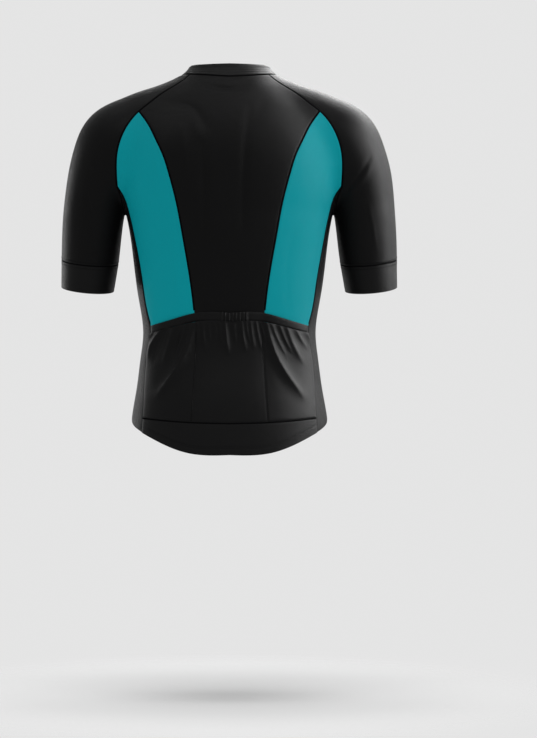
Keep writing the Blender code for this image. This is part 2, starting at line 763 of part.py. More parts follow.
def elastic():
    """The gathered elastic along the pockets' mouths."""
    side = falling_curve((BACK_CORNER,) + SIDE_BACK)(POCKET_TOP[-1][1])
    low, high = GATHER_SPAN
    gathers = round((high - low) / GATHER_PITCH)
    left = np.linspace(side, high, round((side - high) / ELASTIC_STEP) + 1)[:-1]
    middle = np.linspace(high, low, gathers * ELASTIC_STEPS_PER_GATHER + 1)
    right = np.linspace(low, -side, round((side + low) / ELASTIC_STEP) + 1)[1:]
    down = np.linspace(0, 1, ELASTIC_ROWS + 1)[:, None]
    out = np.concatenate([left, middle, right])[None] + 0 * down
    height = level_curve(ELASTIC_TOP)(out) * (1 - down) + level_curve(POCKET_TOP)(out) * down
    gather = GATHER_RISE * (1 - np.cos(math.tau * (out - low) / (high - low) * gathers)) / 2
    gather = np.where((out > low) & (out < high), gather, 0)
    add_over_back("pocket_elastic", out, height, gather, BLACK_BAND, ("bottom", "left", "right"))


def hem_band(seams):
    """The band along the lower edge of the back, longest in the middle."""
    out = np.linspace(HEM_BACK[-1][0], -HEM_BACK[-1][0], len(seams["band_top"]))
    foot = lift(np.stack([out, level_curve(HEM_BACK)(out)], axis=1), 1)
    side = seams["band_side"]
    foot[0], foot[-1] = side[-1], mirrored(side[-1])
    grid = patch(seams["band_top"], foot, side, mirrored(side))
    grid = stand_back(grid, ("top", "left", "right"))
    add_panel("hem_band", grid, BLACK_BAND, BAND_PROUD)


def slider_frame():
    """The slider's place on the front of the collar: its axes are across, up the zip and out."""
    seam, top = neck_seam(180.0)[0], neck_top(180.0)[0]
    up = Vector(unit(top - seam))
    across = Vector((1, 0, 0))
    frame = Matrix((across, up, across.cross(up))).transposed().to_4x4()
    frame.translation = Vector(seam + SLIDER_PLACE * (top - seam)) * MM
    return frame


def add_box(name, frame, low, high, collection="cutters"):
    """A box between two corners in a frame."""
    bpy.ops.mesh.primitive_cube_add(size=1)
    box = bpy.context.object
    box.name = name
    centre = (Vector(low) + Vector(high)) / 2 * MM
    size = (Vector(high) - Vector(low)) * MM
    box.data.transform(Matrix.LocRotScale(centre, None, size))
    box.matrix_world = frame
    for owner in list(box.users_collection):
        owner.objects.unlink(box)
    bpy.data.collections[collection].objects.link(box)
    if collection == "cutters":
        box.hide_render = True
        box.display_type = "WIRE"
    return box


def combine(target, tool, operation):
    """The target joined to a tool or cut by it."""
    change = target.modifiers.new(tool.name, "BOOLEAN")
    change.operation = operation
    change.solver = "EXACT"
    change.object = tool


def round_edges(target, width):
    """The target with its edges taken off."""
    rounding = target.modifiers.new("round_edges", "BEVEL")
    rounding.width = width * MM
    rounding.segments = 1
    rounding.limit_method = "ANGLE"


def zip_tape(seams, frame):
    """The closed zip from the hem to the collar's top, slit for the slider's post."""
    heights = seams["zip_edge"][::-1, 2]
    below = lift(np.stack([0 * heights, heights], axis=1), -1)
    facing_below = outward(below)
    seam, top = neck_seam(180.0)[0], neck_top(180.0)[0]
    above = seam + np.linspace(0, 1, COLLAR_ROWS + 1)[1:, None] * (top - seam)
    facing_above = np.tile(np.array(frame.col[2].xyz), (COLLAR_ROWS, 1))
    facing_below[-1] = unit(facing_below[-1] + facing_above[0])
    middle = np.concatenate([below, above])
    facing = np.concatenate([facing_below, facing_above])[:, None]
    half = np.array((ZIP_HALF_WIDTH - SEAM_GAP / 2, 0, 0))
    grid = np.stack([middle - half, middle + half], axis=1)
    tape = add_wall("zip", grid + facing * ZIP_PROUD, grid - facing * WALL, ZIP_TAPE, 0.6)
    slit = POST_WIDTH / 2 + FIT_GAP
    low = (-slit, POST_RISE - POST_LENGTH / 2 - FIT_GAP, -WALL - 2)
    combine(tape, add_box("slit_cutter", frame, low, (slit, 20, ZIP_PROUD + 2)), "DIFFERENCE")


def zip_slider(frame):
    """The slider: two plates joined by a post, with a bridge that holds the pull tab."""
    half_width, half_length = PLATE_WIDTH / 2, PLATE_LENGTH / 2
    floor = ZIP_PROUD + FIT_GAP
    face = floor + PLATE_WALL
    roof = face + PIVOT_RISE + BRIDGE_HEADROOM
    back = -WALL - FIT_GAP
    half_post, half_bridge = POST_WIDTH / 2, BRIDGE_WIDTH / 2
    post_foot, post_head = POST_RISE - POST_LENGTH / 2, POST_RISE + POST_LENGTH / 2
    leg = BRIDGE_REACH + BRIDGE_LEG
    low, high = (-half_width, -half_length, floor), (half_width, half_length, face)
    slider = add_box("zip_slider", frame, low, high, "cycling_jersey")
    slider.data.materials.append(material_of("zip_slider", ZIP_METAL, 0.35, 1.0))
    # Each box: name, then its left, lower and inner limits, then its right, upper and outer ones.
    boxes = (
        ("post", (-half_post, post_foot, back - OVERLAP), (half_post, post_head, floor + OVERLAP)),
        ("back_plate", (-half_width, -half_length, back - PLATE_WALL), (*high[:2], back)),
        ("lower_leg", (-half_bridge, -leg, face - OVERLAP), (half_bridge, -BRIDGE_REACH, roof + OVERLAP)),
        ("upper_leg", (-half_bridge, BRIDGE_REACH, face - OVERLAP), (half_bridge, leg, roof + OVERLAP)),
        ("bridge", (-half_bridge, -leg, roof), (half_bridge, leg, roof + BRIDGE_LEG)),
    )
    for name, low, high in boxes:
        combine(slider, add_box(f"slider_{name}", frame, low, high), "UNION")
    round_edges(slider, 0.25)


def zip_pull(frame):
    """The pull tab, which hangs from a bar under the bridge and turns about that bar."""
    pivot = Vector((0, 0, ZIP_PROUD + FIT_GAP + PLATE_WALL + PIVOT_RISE)) * MM
    frame = frame @ Matrix.Translation(pivot)
    half_wall, half_width, half_hole = TAB_WALL / 2, TAB_WIDTH / 2, TAB_HOLE_WIDTH / 2
    low, high = (-half_width, half_wall - TAB_LENGTH, -half_wall), (half_width, half_wall, half_wall)
    pull = add_box("zip_pull", frame, low, high, "cycling_jersey")
    pull.data.materials.append(material_of("zip_pull", ZIP_METAL, 0.35, 1.0))
    low = (-half_hole, -half_wall - TAB_HOLE_LENGTH, -TAB_WALL)
    combine(pull, add_box("tab_hole", frame, low, (half_hole, -half_wall, TAB_WALL)), "DIFFERENCE")
    round_edges(pull, 0.3)


def main():
    """Build the jersey in an empty scene."""
    for item in list(bpy.data.objects):
        bpy.data.objects.remove(item)
    for name in ("cycling_jersey", "cutters"):
        collection = bpy.data.collections.new(name)
        bpy.context.scene.collection.children.link(collection)
    seams = draw_seams()
    back_panels(seams)
    side_panels(seams)
    front_panels(seams)
    sleeves_and_cuffs(seams)
    collar()
    pockets()
    elastic()
    hem_band(seams)
    frame = slider_frame()
    zip_tape(seams, frame)
    zip_slider(frame)
    zip_pull(frame)


if __name__ == "__main__":
    main()
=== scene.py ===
"""The cloth, sewing and zip of a short-sleeved cycling jersey, dressed round its rigid frame.

The frame is in metres, with +Z up. The wearer faces -Y and has their left side at +X. The
tables and functions of the garment form are in millimetres.
"""

import functools
import json
import math

import bmesh
import bpy
import numpy as np
from bpy.props import FloatProperty, FloatVectorProperty, PointerProperty
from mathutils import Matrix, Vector

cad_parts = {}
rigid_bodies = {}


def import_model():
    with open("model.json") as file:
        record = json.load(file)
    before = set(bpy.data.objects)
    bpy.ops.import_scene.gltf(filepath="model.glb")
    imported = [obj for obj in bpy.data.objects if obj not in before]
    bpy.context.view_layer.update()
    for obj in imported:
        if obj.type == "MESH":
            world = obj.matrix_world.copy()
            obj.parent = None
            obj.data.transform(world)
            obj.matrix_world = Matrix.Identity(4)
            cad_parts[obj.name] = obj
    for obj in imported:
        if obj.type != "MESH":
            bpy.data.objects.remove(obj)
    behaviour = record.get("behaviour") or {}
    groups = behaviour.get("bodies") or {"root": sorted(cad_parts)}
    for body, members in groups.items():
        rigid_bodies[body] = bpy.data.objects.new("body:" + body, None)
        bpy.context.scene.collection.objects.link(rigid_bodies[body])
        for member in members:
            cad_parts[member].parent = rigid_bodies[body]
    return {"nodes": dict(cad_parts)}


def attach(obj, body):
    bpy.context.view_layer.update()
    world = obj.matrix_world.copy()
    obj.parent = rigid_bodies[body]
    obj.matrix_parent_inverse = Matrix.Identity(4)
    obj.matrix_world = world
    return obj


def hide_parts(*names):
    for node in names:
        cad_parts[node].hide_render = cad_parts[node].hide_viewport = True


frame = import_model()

bl_info = {
    "name": "Cycling Jersey",
    "version": (1, 0, 0),
    "blender": (4, 5, 0),
    "location": "View3D > Sidebar > Jersey",
    "description": "Cloth, sewing, zip and stage of a short-sleeved cycling jersey",
    "category": "Object",
}

GARMENT = "garment"
MM = 0.001

WALL = 1.2
SEAM_GAP = 0.3
LIP = 0.12
EDGE_SHARE = 0.35
ALL_EDGES = ("top", "bottom", "left", "right")
# The share of an edge's roll by which the inner side of the cloth rises to meet the outer side.
BACK_ROLL_SHARE = 0.3

# Torso sections. The depths run from the plane of the side seams to the back and the front.
TORSO_COLUMNS = ("height", "half_width", "back_depth", "front_depth")
TORSO_SECTIONS = (
    (60, 58, 50, 44), (20, 66, 55, 52), (0, 76, 64, 60), (-20, 93, 78, 70), (-40, 115, 89, 80),
    (-60, 140, 98, 89), (-90, 171, 108, 101), (-120, 191, 115, 110), (-160, 202, 119, 117),
    (-200, 202, 118, 121), (-228, 196, 116, 122), (-247, 190, 114, 122), (-262, 186.5, 113, 121),
    (-306, 179, 107, 119), (-349, 174, 101, 117), (-393, 168, 95, 114), (-430, 161, 90, 112),
    (-466, 157.5, 87, 111), (-510, 162, 91, 111), (-565, 169, 104, 110), (-611, 177, 114, 109),
    (-700, 183, 122, 108),
)
TORSO_SQUARENESS = 2.35

# Middle of the left sleeve (out, aft, height) and its radius, from the neck to below the cuff.
ARM_SECTIONS = (
    (60, -2, -49.5, 49), (82, 0, -56, 52), (115, 2, -69, 54.5), (149, 4, -83.5, 57.7),
    (179, 4, -98.5, 61), (205, 3, -116, 64.5), (221, 1, -144, 63.5), (233.5, -3, -180, 60.8),
    (242, -8, -214, 57.5), (249, -15, -262, 55.2), (254.3, -24, -320, 53.3),
    (259.3, -33, -379, 49.2), (262.6, -39, -415, 47),
)
ARM_SAMPLES = 80
ARM_REACH = 130
TORSO_REACH = 180
CAST_STEPS = 36
CAST_HALVINGS = 14

# The fillet from a sleeve to the torso is tight below the first height, wide above the second.
FILLET_HEIGHTS = (-247, -165)
FILLET_WIDTHS = (8, 55)

# The collar's seam and top are ovals round the neck, by angle from the middle of the back.
NECK_COLUMNS = ("angle", "seam_height", "top_height")
NECK_RING = ((0, -5, 21), (45, -1, 20.3), (90, 1, 16.5), (135, -26, -4), (180, -60, -25))
NECK_SEAM_OVAL = {"half_width": 87, "half_depth": 75, "aft": -12}
NECK_TOP_OVAL = {"half_width": 73, "half_depth": 66, "aft": -15}
COLLAR_WALL = 2.0
COLLAR_HOLLOW = 2.0
RAGLAN_BACK_ANGLE = 53
RAGLAN_FRONT_ANGLE = 114

# Seams on the left half as they look from straight behind or in front: (out, height).
RAGLAN_BACK_UPPER = ((94, -15), (120, -31), (147, -52.5))
TIP = (163.5, -66)
RAGLAN_BACK_LOWER = ((182, -87), (197, -116.5), (204, -146), (205, -174))
BACK_CORNER = (203.5, -202)
ARMHOLE_BACK = (198, -229)
UNDERARM = (191.5, -4, -247)
ARMHOLE_FRONT = (194, -228)
FRONT_CORNER = (189, -201)
RAGLAN_FRONT = ((185, -170), (173, -136), (154, -104), (129, -72), (102, -40))
PRINCESS = (
    (148, -87), (133, -116), (119, -146), (109.6, -175), (94.6, -233), (84, -291), (73.7, -349),
    (65.5, -408), (60, -470), (56, -550), (54, -629),
)
SIDE_BACK = (
    (192.5, -218), (184.5, -240), (179, -262), (167.5, -320), (158, -379), (147.5, -437),
    (142, -462), (147, -500), (152.5, -550), (156, -621.5), (158, -647),
)
SIDE_FRONT = (
    (184, -228), (177, -262), (165, -320), (155, -393), (148, -466), (154, -545), (162, -609),
)
BAND_TOP = ((0, -629), (80, -627), (156, -621.5))
HEM_BACK = ((0, -685), (78, -681), (135, -659), (158, -647))
HEM_SIDE = (178, 0, -624)
HEM_FRONT = ((0, -588), (90, -594), (162, -609))
# How far a teal panel's head lies below the tip, as a share of its first row of quads.
TEAL_HEAD_SHARE = 0.3

# Back pockets: heights of the upper edges by distance out, and the lines between the pockets.
POCKET_GAP = 0.5
POCKET_EASE = 1.6
POCKET_EASE_REACH = 14
ELASTIC_TOP = ((0, -430), (62, -430.5), (100, -441), (142, -454))
POCKET_TOP = ((0, -446), (62, -446.5), (100, -456), (142, -467))
DIVIDER = ((57, -440), (62, -530), (68, -629))
GATHER_PITCH = 6.8
GATHER_RELIEF = 2.6
GATHER_SPAN = (-34, 17)
GATHER_UNEVENNESS = (1.7, 0.6, 0.22)
GATHER_AT_TOP = 0.45
BAND_PROUD = POCKET_GAP + WALL

# Heights of the sleeve's middle at the underarm point, at the cuff seam and at the cuff's end.
UNDERARM_RING = -250
CUFF_SEAM_RING = -338
CUFF_END_RING = -388

# The zip: its tapes part above the slider, and its teeth lie along their inner edges.
ZIP_HALF_WIDTH = 5
ZIP_PROUD = 0.4
ZIP_STEP = 1.3
SLIDER_PLACE = 0.72
SLIDER_LENGTH = 11
ZIP_CLOSED_HALF = 0.15
ZIP_OPEN_HALF = 2.2
TAPE_COLUMNS = 5
# A tooth seen from in front (reach, along the zip), and the shares that its face keeps of them.
TOOTH_OUTLINE = ((-1.7, -0.55), (0.1, -0.42), (0.55, -0.2), (0.55, 0.2), (0.1, 0.42), (-1.7, 0.55))
TOOTH_FACE = (0.8, 0.6)
TOOTH_LEVELS = (-WALL - 0.25, ZIP_PROUD + 0.5, ZIP_PROUD + 0.75)

# Ridges and grooves along the seams: the distance from an edge, the width and the rise.
TEAL_RIDGE = (3.4, 1.3, 0.35)
SLEEVE_RIDGE = (2.6, 1.7, 0.5)
CUFF_BEADS = ((2.4, 1.5, 0.35), (5.6, 1.2, -0.35))
CUFF_END_GROOVE = (5, 1.2, -0.25)
COLLAR_RIDGE = (2.2, 1.8, 0.35)
COLLAR_GROOVES = ((7.5, 0.9, -0.7), (13.0, 0.9, -0.7), (18.5, 0.9, -0.7))
COLLAR_SPAN = 26
HEM_GROOVE = (13.5, 1.6, -0.4)

# Each crease starts at one place, bends past a second and ends at a third: (out, height) three
# times, as seen from behind. Then come its width and its rise, which is below zero in a trough.
BACK_CREASES = (
    (117, -49, 66, -62, 41, -102, 13, -3.6), (80, -52, 66, -82, 48, -124, 10, 1),
    (42, -19, 8, -26, -30, -20, 8, -2.8), (-62, -50, -48, -76, -38, -108, 12, -0.9),
    (49, -126, 46, -205, 44, -302, 10, -1.9), (-36, -60, -27, -150, -24, -286, 8, -1.8),
    (84, -95, 80, -135, 76, -188, 8, 1.3), (46, -409, 33, -413, 20, -409, 4, 0.8),
    (-20, -414, -36, -410, -50, -415, 4, 0.6), (140, -436, 138, -449, 135, -460, 4, 1),
    (100, -300, 96, -360, 99, -425, 10, 0.7), (-112, -290, -104, -352, -105, -424, 11, -0.7),
    (176, -160, 168, -196, 166, -232, 8, 0.9), (-178, -168, -170, -200, -167, -240, 8, 1),
    (-214, -208, -236, -181, -256, -148, 3.2, -2.2), (-220, -214, -243, -187, -261, -156, 4.5, 1),
    (-253, -236, -261, -275, -268, -320, 3, 0.9), (250, -165, 240, -178, 229, -190, 5, 1.3),
    (258, -215, 250, -250, 247, -290, 6, -1),
)
FRONT_CREASES = (
    (168, -168, 140, -186, 112, -196, 9, 1.8), (172, -196, 150, -214, 128, -236, 7, 1.4),
    (160, -140, 138, -150, 118, -152, 8, -1.1), (-170, -172, -146, -196, -118, -210, 9, 1.7),
    (-168, -206, -150, -236, -134, -262, 7, 1.3), (-164, -146, -144, -156, -122, -166, 8, -1),
    (60, -380, 90, -392, 128, -386, 9, 1.2), (30, -452, 66, -466, 112, -458, 10, 1.4),
    (26, -500, 60, -508, 96, -500, 9, -1), (-24, -400, -62, -414, -110, -402, 9, 1.3),
    (-30, -470, -70, -482, -120, -470, 10, 1.3), (-24, -530, -60, -540, -100, -533, 10, 1),
    (215, -180, 236, -165, 252, -150, 6, 1.4), (222, -215, 240, -205, 258, -190, 6, 1.1),
    (-214, -186, -234, -170, -250, -152, 6, 1.4), (-226, -236, -246, -226, -262, -212, 6, 1),
)
POCKET_CREASES = (
    (61, -448, 82, -512, 128, -578, 9, 7.4), (122, -462, 137, -484, 147, -512, 6, 5.2),
    (140, -468, 145, -480, 148, -493, 4.2, 2.6), (112, -458, 124, -484, 136, -520, 5.5, -1.8),
    (99, -456, 106, -482, 118, -520, 7, 3.8), (88, -453, 94, -478, 104, -506, 4.6, -1.6),
    (77, -450, 84, -474, 95, -508, 5.4, 3.2), (67, -449, 71, -466, 78, -484, 4.2, 2),
    (-65, -448, -86, -515, -132, -582, 9.5, 6), (-103, -458, -112, -486, -132, -522, 7.5, 3.4),
    (-76, -451, -84, -474, -100, -506, 5, 2.2), (-90, -454, -97, -474, -109, -500, 4.4, 2),
    (-119, -461, -126, -476, -138, -494, 5, 2.2), (-137, -466, -144, -478, -149, -490, 5.4, 2.6),
    (-63, -450, -64, -472, -68, -500, 3.4, -1.3), (56, -448, 57, -466, 56, -486, 4.2, 2),
    (36, -447, 36, -464, 35, -482, 4.2, 2), (17, -447, 16, -466, 14, -488, 4, 2.2),
    (-30, -447, -32, -466, -37, -486, 4, 2.2), (-48, -447, -51, -468, -57, -494, 4.4, 2.6),
    (-57, -448, -60, -466, -65, -484, 3.8, 1.8), (47, -447, 47, -468, 44, -494, 5.2, 2.8),
    (26, -447, 25, -462, 26, -480, 4.2, 1.9), (8, -447, 6, -472, 2, -502, 5.4, 3.8),
    (-8, -447, -9, -464, -11, -484, 3.8, 2), (-22, -447, -24, -470, -29, -496, 5, 3.4),
    (-38, -447, -40, -468, -44, -492, 4.8, 2.6),
)
CREASE_SAMPLES = 9
CREST_SHARE = 0.35
CREST_WIDTH = 0.42
CREASE_FADE = (0.12, 0.96)
CREASE_FULLNESS = 0.7

# Slow waves of the cloth: waves per metre across, aft and up, where they start, and their rise.
WAVES = (
    (4.1, 2.2, 3.1, 0.3, 0.30), (-6.3, 3.4, 4.7, 1.9, 0.22),
    (2.7, -5.2, 8.9, 4.1, 0.20), (9.7, 4.6, -3.8, 2.6, 0.14),
)

# The strips sewn down under the seams, and the rounded profile of the thread that covers them.
TAPE_STEP = 3.0
TAPE_SIZE = (6.0, 0.5)
POCKET_TAPE_SIZE = (3.6, 0.35)
TAPE_DEPTH = -1.75
TAPE_PROFILE = ((-0.5, -0.5), (-0.5, 0.5), (0.5, 0.5), (0.5, -0.5))
COVER_PROFILE = (
    (-0.5, -0.6), (-0.46, 0.35), (-0.2, 0.95), (0.2, 0.95), (0.46, 0.35), (0.5, -0.6),
)
# How wide the covered seams are where they are narrower than the others.
SEAM_SHARES = {"raglan_seams": 0.9, "cuff_seams": 0.6, "hem_seam": 0.7}
SEAM_SINK = 0.45
LOOP_SWELL = 0.22
COVER_CLEAR_OF_POCKETS = 18
COVER_CLEAR_OF_ELASTIC = 2
NECK_SAMPLES = 120

# A stitch's stations along it: (along, width, up) as shares of its length and its thickness.
STITCH_SIDES = 5
STITCH_STATIONS = (
    (-0.5, 0.45, -0.75), (-0.3, 0.95, 0.1), (0.0, 1.0, 0.3), (0.3, 0.95, 0.1), (0.5, 0.45, -0.75),
)
# Rows of stitches: beside the pockets' dividers (side, distance), and over the hem.
DIVIDER_STITCHES = ((1, 1.4), (-1, -0.6), (-1, 3.4))
MOUTH_STITCHES = 2.2
MOUTH_REACH = 138
HEM_STITCHES = (11.8, 15.2)
HEM_REACH = 146
LINE_SAMPLES = 320
ZIP_STITCHES = (2.4, 0, 0)
# Rings of stitches beside the cuff seam: their height over the cloth, and how far down they lie.
SLEEVE_STITCHES = (0.2, -5.4)
CUFF_STITCHES = (0.1, 5.6)

# Rows and columns of quads in the cloth.
RAGLAN_UPPER_ROWS = 30
RAGLAN_LOWER_ROWS = 36
ARMHOLE_ROWS = 16
SIDE_ROWS = 120
BAND_ROWS = 20
FOREARM_ROWS = 28
CUFF_ROWS = 20
COLLAR_ROWS = 16
POCKET_ROWS = 90
ELASTIC_ROWS = 10
BACK_COLUMNS = 72
BACK_SIDE_COLUMNS = 30
FRONT_COLUMNS = 46
SIDE_COLUMNS = 2 * ARMHOLE_ROWS
SLEEVE_COLUMNS = 108
COLLAR_COLUMNS_ON_SLEEVE = 36
SIDE_POCKET_COLUMNS = 56
MIDDLE_POCKET_COLUMNS = 84
ELASTIC_STEP = 2.2
ELASTIC_STEPS_PER_GATHER = 8

# Cloth: its colour, how much paler it wears, its loops' share of the usual width, their slant,
# the depth of its bumps, its roughness, gloss and sheen. The zip's tape has a weave of its own.
CLOTH_LOOKS = {
    "black_knit": ("black_knit", 1.5, 1, 0.5, 0.0004, 0.38, 0.10, 0.01),
    "pocket_knit": ("black_knit", 1.6, 1, 0.5, 0.0004, 0.36, 0.13, 0.01),
    "black_band": ("black_band", 1.5, 1.6, 0.2, 0.0005, 0.4, 0.13, 0.01),
    "teal_knit": ("teal_knit", 1.08, 1, 0.5, 0.0004, 0.5, 0.06, 0.0),
    "zip_tape": ("black_band", 1.4, None, 1.0, 0.0003, 0.6, 0.2, 0.03),
}
ZIP_WEAVE = (0.0006, 0.0012)
FUZZ_SCALE = 900.0
FUZZ_SHARE = 0.35
PATCH_SHARE = 0.55
# How far painted shade darkens the colour in the hollows between the knitted loops.
PAINTED_SHADE_SHARE = 0.3
COURSE_SHARE = 0.3
PATCH_ROUGHNESS = 0.1
SHEEN_ROUGHNESS = 0.45
CLOTH_BUMP = 0.35
# Thread and zip parts: how much paler they wear, their roughness, metallic share and gloss.
HARD_LOOKS = {"thread": (2.0, 0.8, 0.0, 0.02), "zip_metal": (1.7, 0.36, 1.0, 0.5)}
SCUFF_ROUGHNESS = 0.2
HARD_BUMP = (0.2, 0.0001)

PICTURE_HEIGHT = 738
METRES_PER_PIXEL = 0.00182
PICTURE_MIDDLE = (-0.071, 0.03, -0.533)
GARMENT_MIDDLE = (0.0, 0.0, -0.33)
FLOOR_RADIUS = 5.0
FLOOR_FADE = (0.3, 0.75)

# Each soft light: its place, its width and its height. Gloss alone shows the gloss lights.
SOFT_LIGHTS = {
    "right_light": ((-1.65, -0.1, 0.2), 1.5, 1.4),
    "left_light": ((1.35, -1.3, -0.35), 0.7, 0.9),
    "rear_light": ((-0.8, -1.45, 1.05), 2.3, 1.0),
    "upper_light": ((0.2, 1.0, 1.55), 1.5, 0.9),
    "fill_light": ((-1.9, 0.6, 0.9), 1.0, 1.6),
    "top_light": ((0.0, 0.0, 2.9), 2.4, 2.4),
}
GLOSS_LIGHTS = ("right_light", "left_light", "rear_light", "upper_light")


def unit(vectors):
    """Vectors scaled to a length of one."""
    return vectors / np.maximum(np.linalg.norm(vectors, axis=-1, keepdims=True), 1e-12)


def smooth_curve(knots, values):
    """A natural cubic spline through the values at the knots, held level beyond its ends."""
    order = np.argsort(knots)
    knots = np.asarray(knots, float)[order]
    values = np.asarray(values, float)[order]
    tail = (...,) + (None,) * (values.ndim - 1)
    step = np.diff(knots)
    slope = np.diff(values, axis=0) / step[tail]
    matrix = np.eye(len(knots))
    right = np.zeros_like(values)
    for i in range(1, len(knots) - 1):
        matrix[i, i - 1 : i + 2] = step[i - 1], 2 * (step[i - 1] + step[i]), step[i]
        right[i] = 6 * (slope[i] - slope[i - 1])
    bend = np.linalg.solve(matrix, right)

    def at(where):
        where = np.clip(np.asarray(where, float), knots[0], knots[-1])
        i = np.clip(np.searchsorted(knots, where) - 1, 0, len(step) - 1)
        after = (where - knots[i]) / step[i]
        before = 1 - after
        pull = step[i] ** 2 / 6
        return (
            before[tail] * values[i]
            + after[tail] * values[i + 1]
            + ((before**3 - before) * pull)[tail] * bend[i]
            + ((after**3 - after) * pull)[tail] * bend[i + 1]
        )

    return at


def table_curves(columns, rows):
    """A smooth curve for each column of a table, over the table's first column."""
    table = np.array(rows, float)
    return {name: smooth_curve(table[:, 0], table[:, i]) for i, name in enumerate(columns)}


def distances_along(points, axis=0):
    """The distance of each point from the start of its run."""
    steps = np.diff(points, axis=axis, prepend=np.take(points, [0], axis))
    return np.cumsum(np.linalg.norm(steps, axis=-1), axis=axis)


def curve_through(points):
    """A smooth curve through points over the distance along them, and those distances."""
    points = np.asarray(points, float)
    distances = distances_along(points)
    return smooth_curve(distances, points), distances


def level_curve(rows):
    """Height over distance out, for an edge that runs across the garment."""
    out, heights = np.array(rows, float).T
    curve = smooth_curve(out, heights)
    return lambda at: curve(np.abs(at))


def falling_curve(rows):
    """Distance out over height, for a seam that runs down the garment."""
    out, heights = np.array(rows, float).T
    return smooth_curve(heights, out)


TORSO = table_curves(TORSO_COLUMNS, TORSO_SECTIONS)
NECK = table_curves(NECK_COLUMNS, NECK_RING)
ARM, ARM_DISTANCES = curve_through(ARM_SECTIONS)
ARM_PLACES = np.linspace(0, ARM_DISTANCES[-1], ARM_SAMPLES)
ARM_BEADS = ARM(ARM_PLACES)
SIDE_LINE = falling_curve((BACK_CORNER,) + SIDE_BACK)
DIVIDER_LINE = falling_curve(DIVIDER)
BAND_LINE, POCKET_LINE = level_curve(BAND_TOP), level_curve(POCKET_TOP)
HEM_BACK_LINE, HEM_FRONT_LINE = level_curve(HEM_BACK), level_curve(HEM_FRONT)


def torso_distance(points):
    """How far points lie outside the torso's oval sections."""
    x, y, z = points.T
    depth = np.where(y > 0, TORSO["back_depth"](z), TORSO["front_depth"](z))
    power = TORSO_SQUARENESS
    swell = np.abs(x / TORSO["half_width"](z)) ** power + np.abs(y / depth) ** power
    return np.hypot(x, y) * (1 - np.maximum(swell, 1e-9) ** (-1 / power))


def arm_distance(points):
    """How far points lie outside the nearer arm, a close string of beads of changing radius."""
    folded = np.stack([np.abs(points[:, 0]), points[:, 1], points[:, 2]], axis=1)
    square = (folded**2).sum(axis=1)[:, None] + (ARM_BEADS[:, :3] ** 2).sum(axis=1)
    square = square - 2 * folded @ ARM_BEADS[:, :3].T
    gaps = np.sqrt(np.maximum(square, 0)) - ARM_BEADS[:, 3]
    nearest = np.clip(gaps.argmin(axis=1), 1, ARM_SAMPLES - 2)
    rows = np.arange(len(points))
    before, at, after = (gaps[rows, nearest + step] for step in (-1, 0, 1))
    curl = np.maximum(before - 2 * at + after, 1e-9)
    shift = np.clip((before - after) / (2 * curl), -1, 1)
    return at + shift * (after - before) / 2 + shift**2 * curl / 2


def form_distance(points):
    """How far points lie outside the garment form, the torso filleted to the arms."""
    torso = torso_distance(points)
    arm = arm_distance(points)
    fillet = np.interp(points[:, 2], FILLET_HEIGHTS, FILLET_WIDTHS)
    share = np.maximum(fillet - np.abs(torso - arm), 0) / fillet
    return np.minimum(torso, arm) - share**3 * fillet / 6


def crease_distance(points):
    """How much nearer to the arm than to the torso points lie."""
    return torso_distance(points) - arm_distance(points)


def slope_of(measure, points):
    """The gradient of a measure of points."""
    reach = 0.4
    steps = np.eye(3) * reach
    slopes = [(measure(points + step) - measure(points - step)) / (2 * reach) for step in steps]
    return np.stack(slopes, axis=1)


def outward(points):
    """Unit normals of the form at points in an array of any shape."""
    slope = slope_of(form_distance, np.reshape(points, (-1, 3)))
    return unit(slope).reshape(np.shape(points))


def settle(points):
    """Points moved along the form's normals until they lie on it."""
    flat = np.reshape(points, (-1, 3)).astype(float)
    for _ in range(6):
        slope = slope_of(form_distance, flat)
        flat -= form_distance(flat)[:, None] * slope / (slope**2).sum(axis=1, keepdims=True)
    return flat.reshape(np.shape(points))


def settle_in_crease(points):
    """Points moved to the line on the form where the torso and the arm meet."""
    measures = (form_distance, crease_distance)
    for _ in range(12):
        offsets = np.stack([measure(points) for measure in measures], axis=1)
        slopes = np.stack([slope_of(measure, points) for measure in measures], axis=1)
        points = points - np.einsum("nij,nj->ni", np.linalg.pinv(slopes), offsets)
    return points


def cast(starts, directions, reach):
    """Where rays from inside the form first meet it."""
    near = np.zeros(len(starts))
    far = np.full(len(starts), float(reach))
    found = np.zeros(len(starts), bool)
    for i in range(1, CAST_STEPS + 1):
        distance = reach * i / CAST_STEPS
        outside = form_distance(starts + distance * directions) >= 0
        far = np.where(outside & ~found, distance, far)
        found |= outside
        near = np.where(found, near, distance)
    for _ in range(CAST_HALVINGS):
        middle = (near + far) / 2
        inside = form_distance(starts + middle[:, None] * directions) < 0
        near = np.where(inside, middle, near)
        far = np.where(inside, far, middle)
    return starts + near[:, None] * directions


def lift(out, heights, side):
    """Places seen from behind, moved onto the back of the form, side 1, or its front, side -1."""
    out, heights = np.broadcast_arrays(np.asarray(out, float), heights)
    starts = np.stack([out, 0 * out, heights], axis=-1).reshape(-1, 3)
    return cast(starts, np.tile([0.0, side, 0.0], (len(starts), 1)), TORSO_REACH)


def lift_rows(side, *rows):
    """Places (out, height) from the tables of seams, moved onto one side of the form."""
    return lift(*np.array(rows, float).T, side)


def mirrored(points):
    """The same points on the wearer's other side."""
    return points * (-1, 1, 1)


def joined(*runs):
    """Runs of points as one run, where each starts at the end of the run before it."""
    return np.concatenate([runs[0], *(run[1:] for run in runs[1:])])


def neck_oval(angles, oval, heights):
    """Points of an oval round the neck, by angle from the middle of the back."""
    turn = np.radians(angles)
    across = oval["half_width"] * np.sin(turn)
    aft = oval["aft"] + oval["half_depth"] * np.cos(turn)
    return np.stack([across, aft, heights], axis=1)


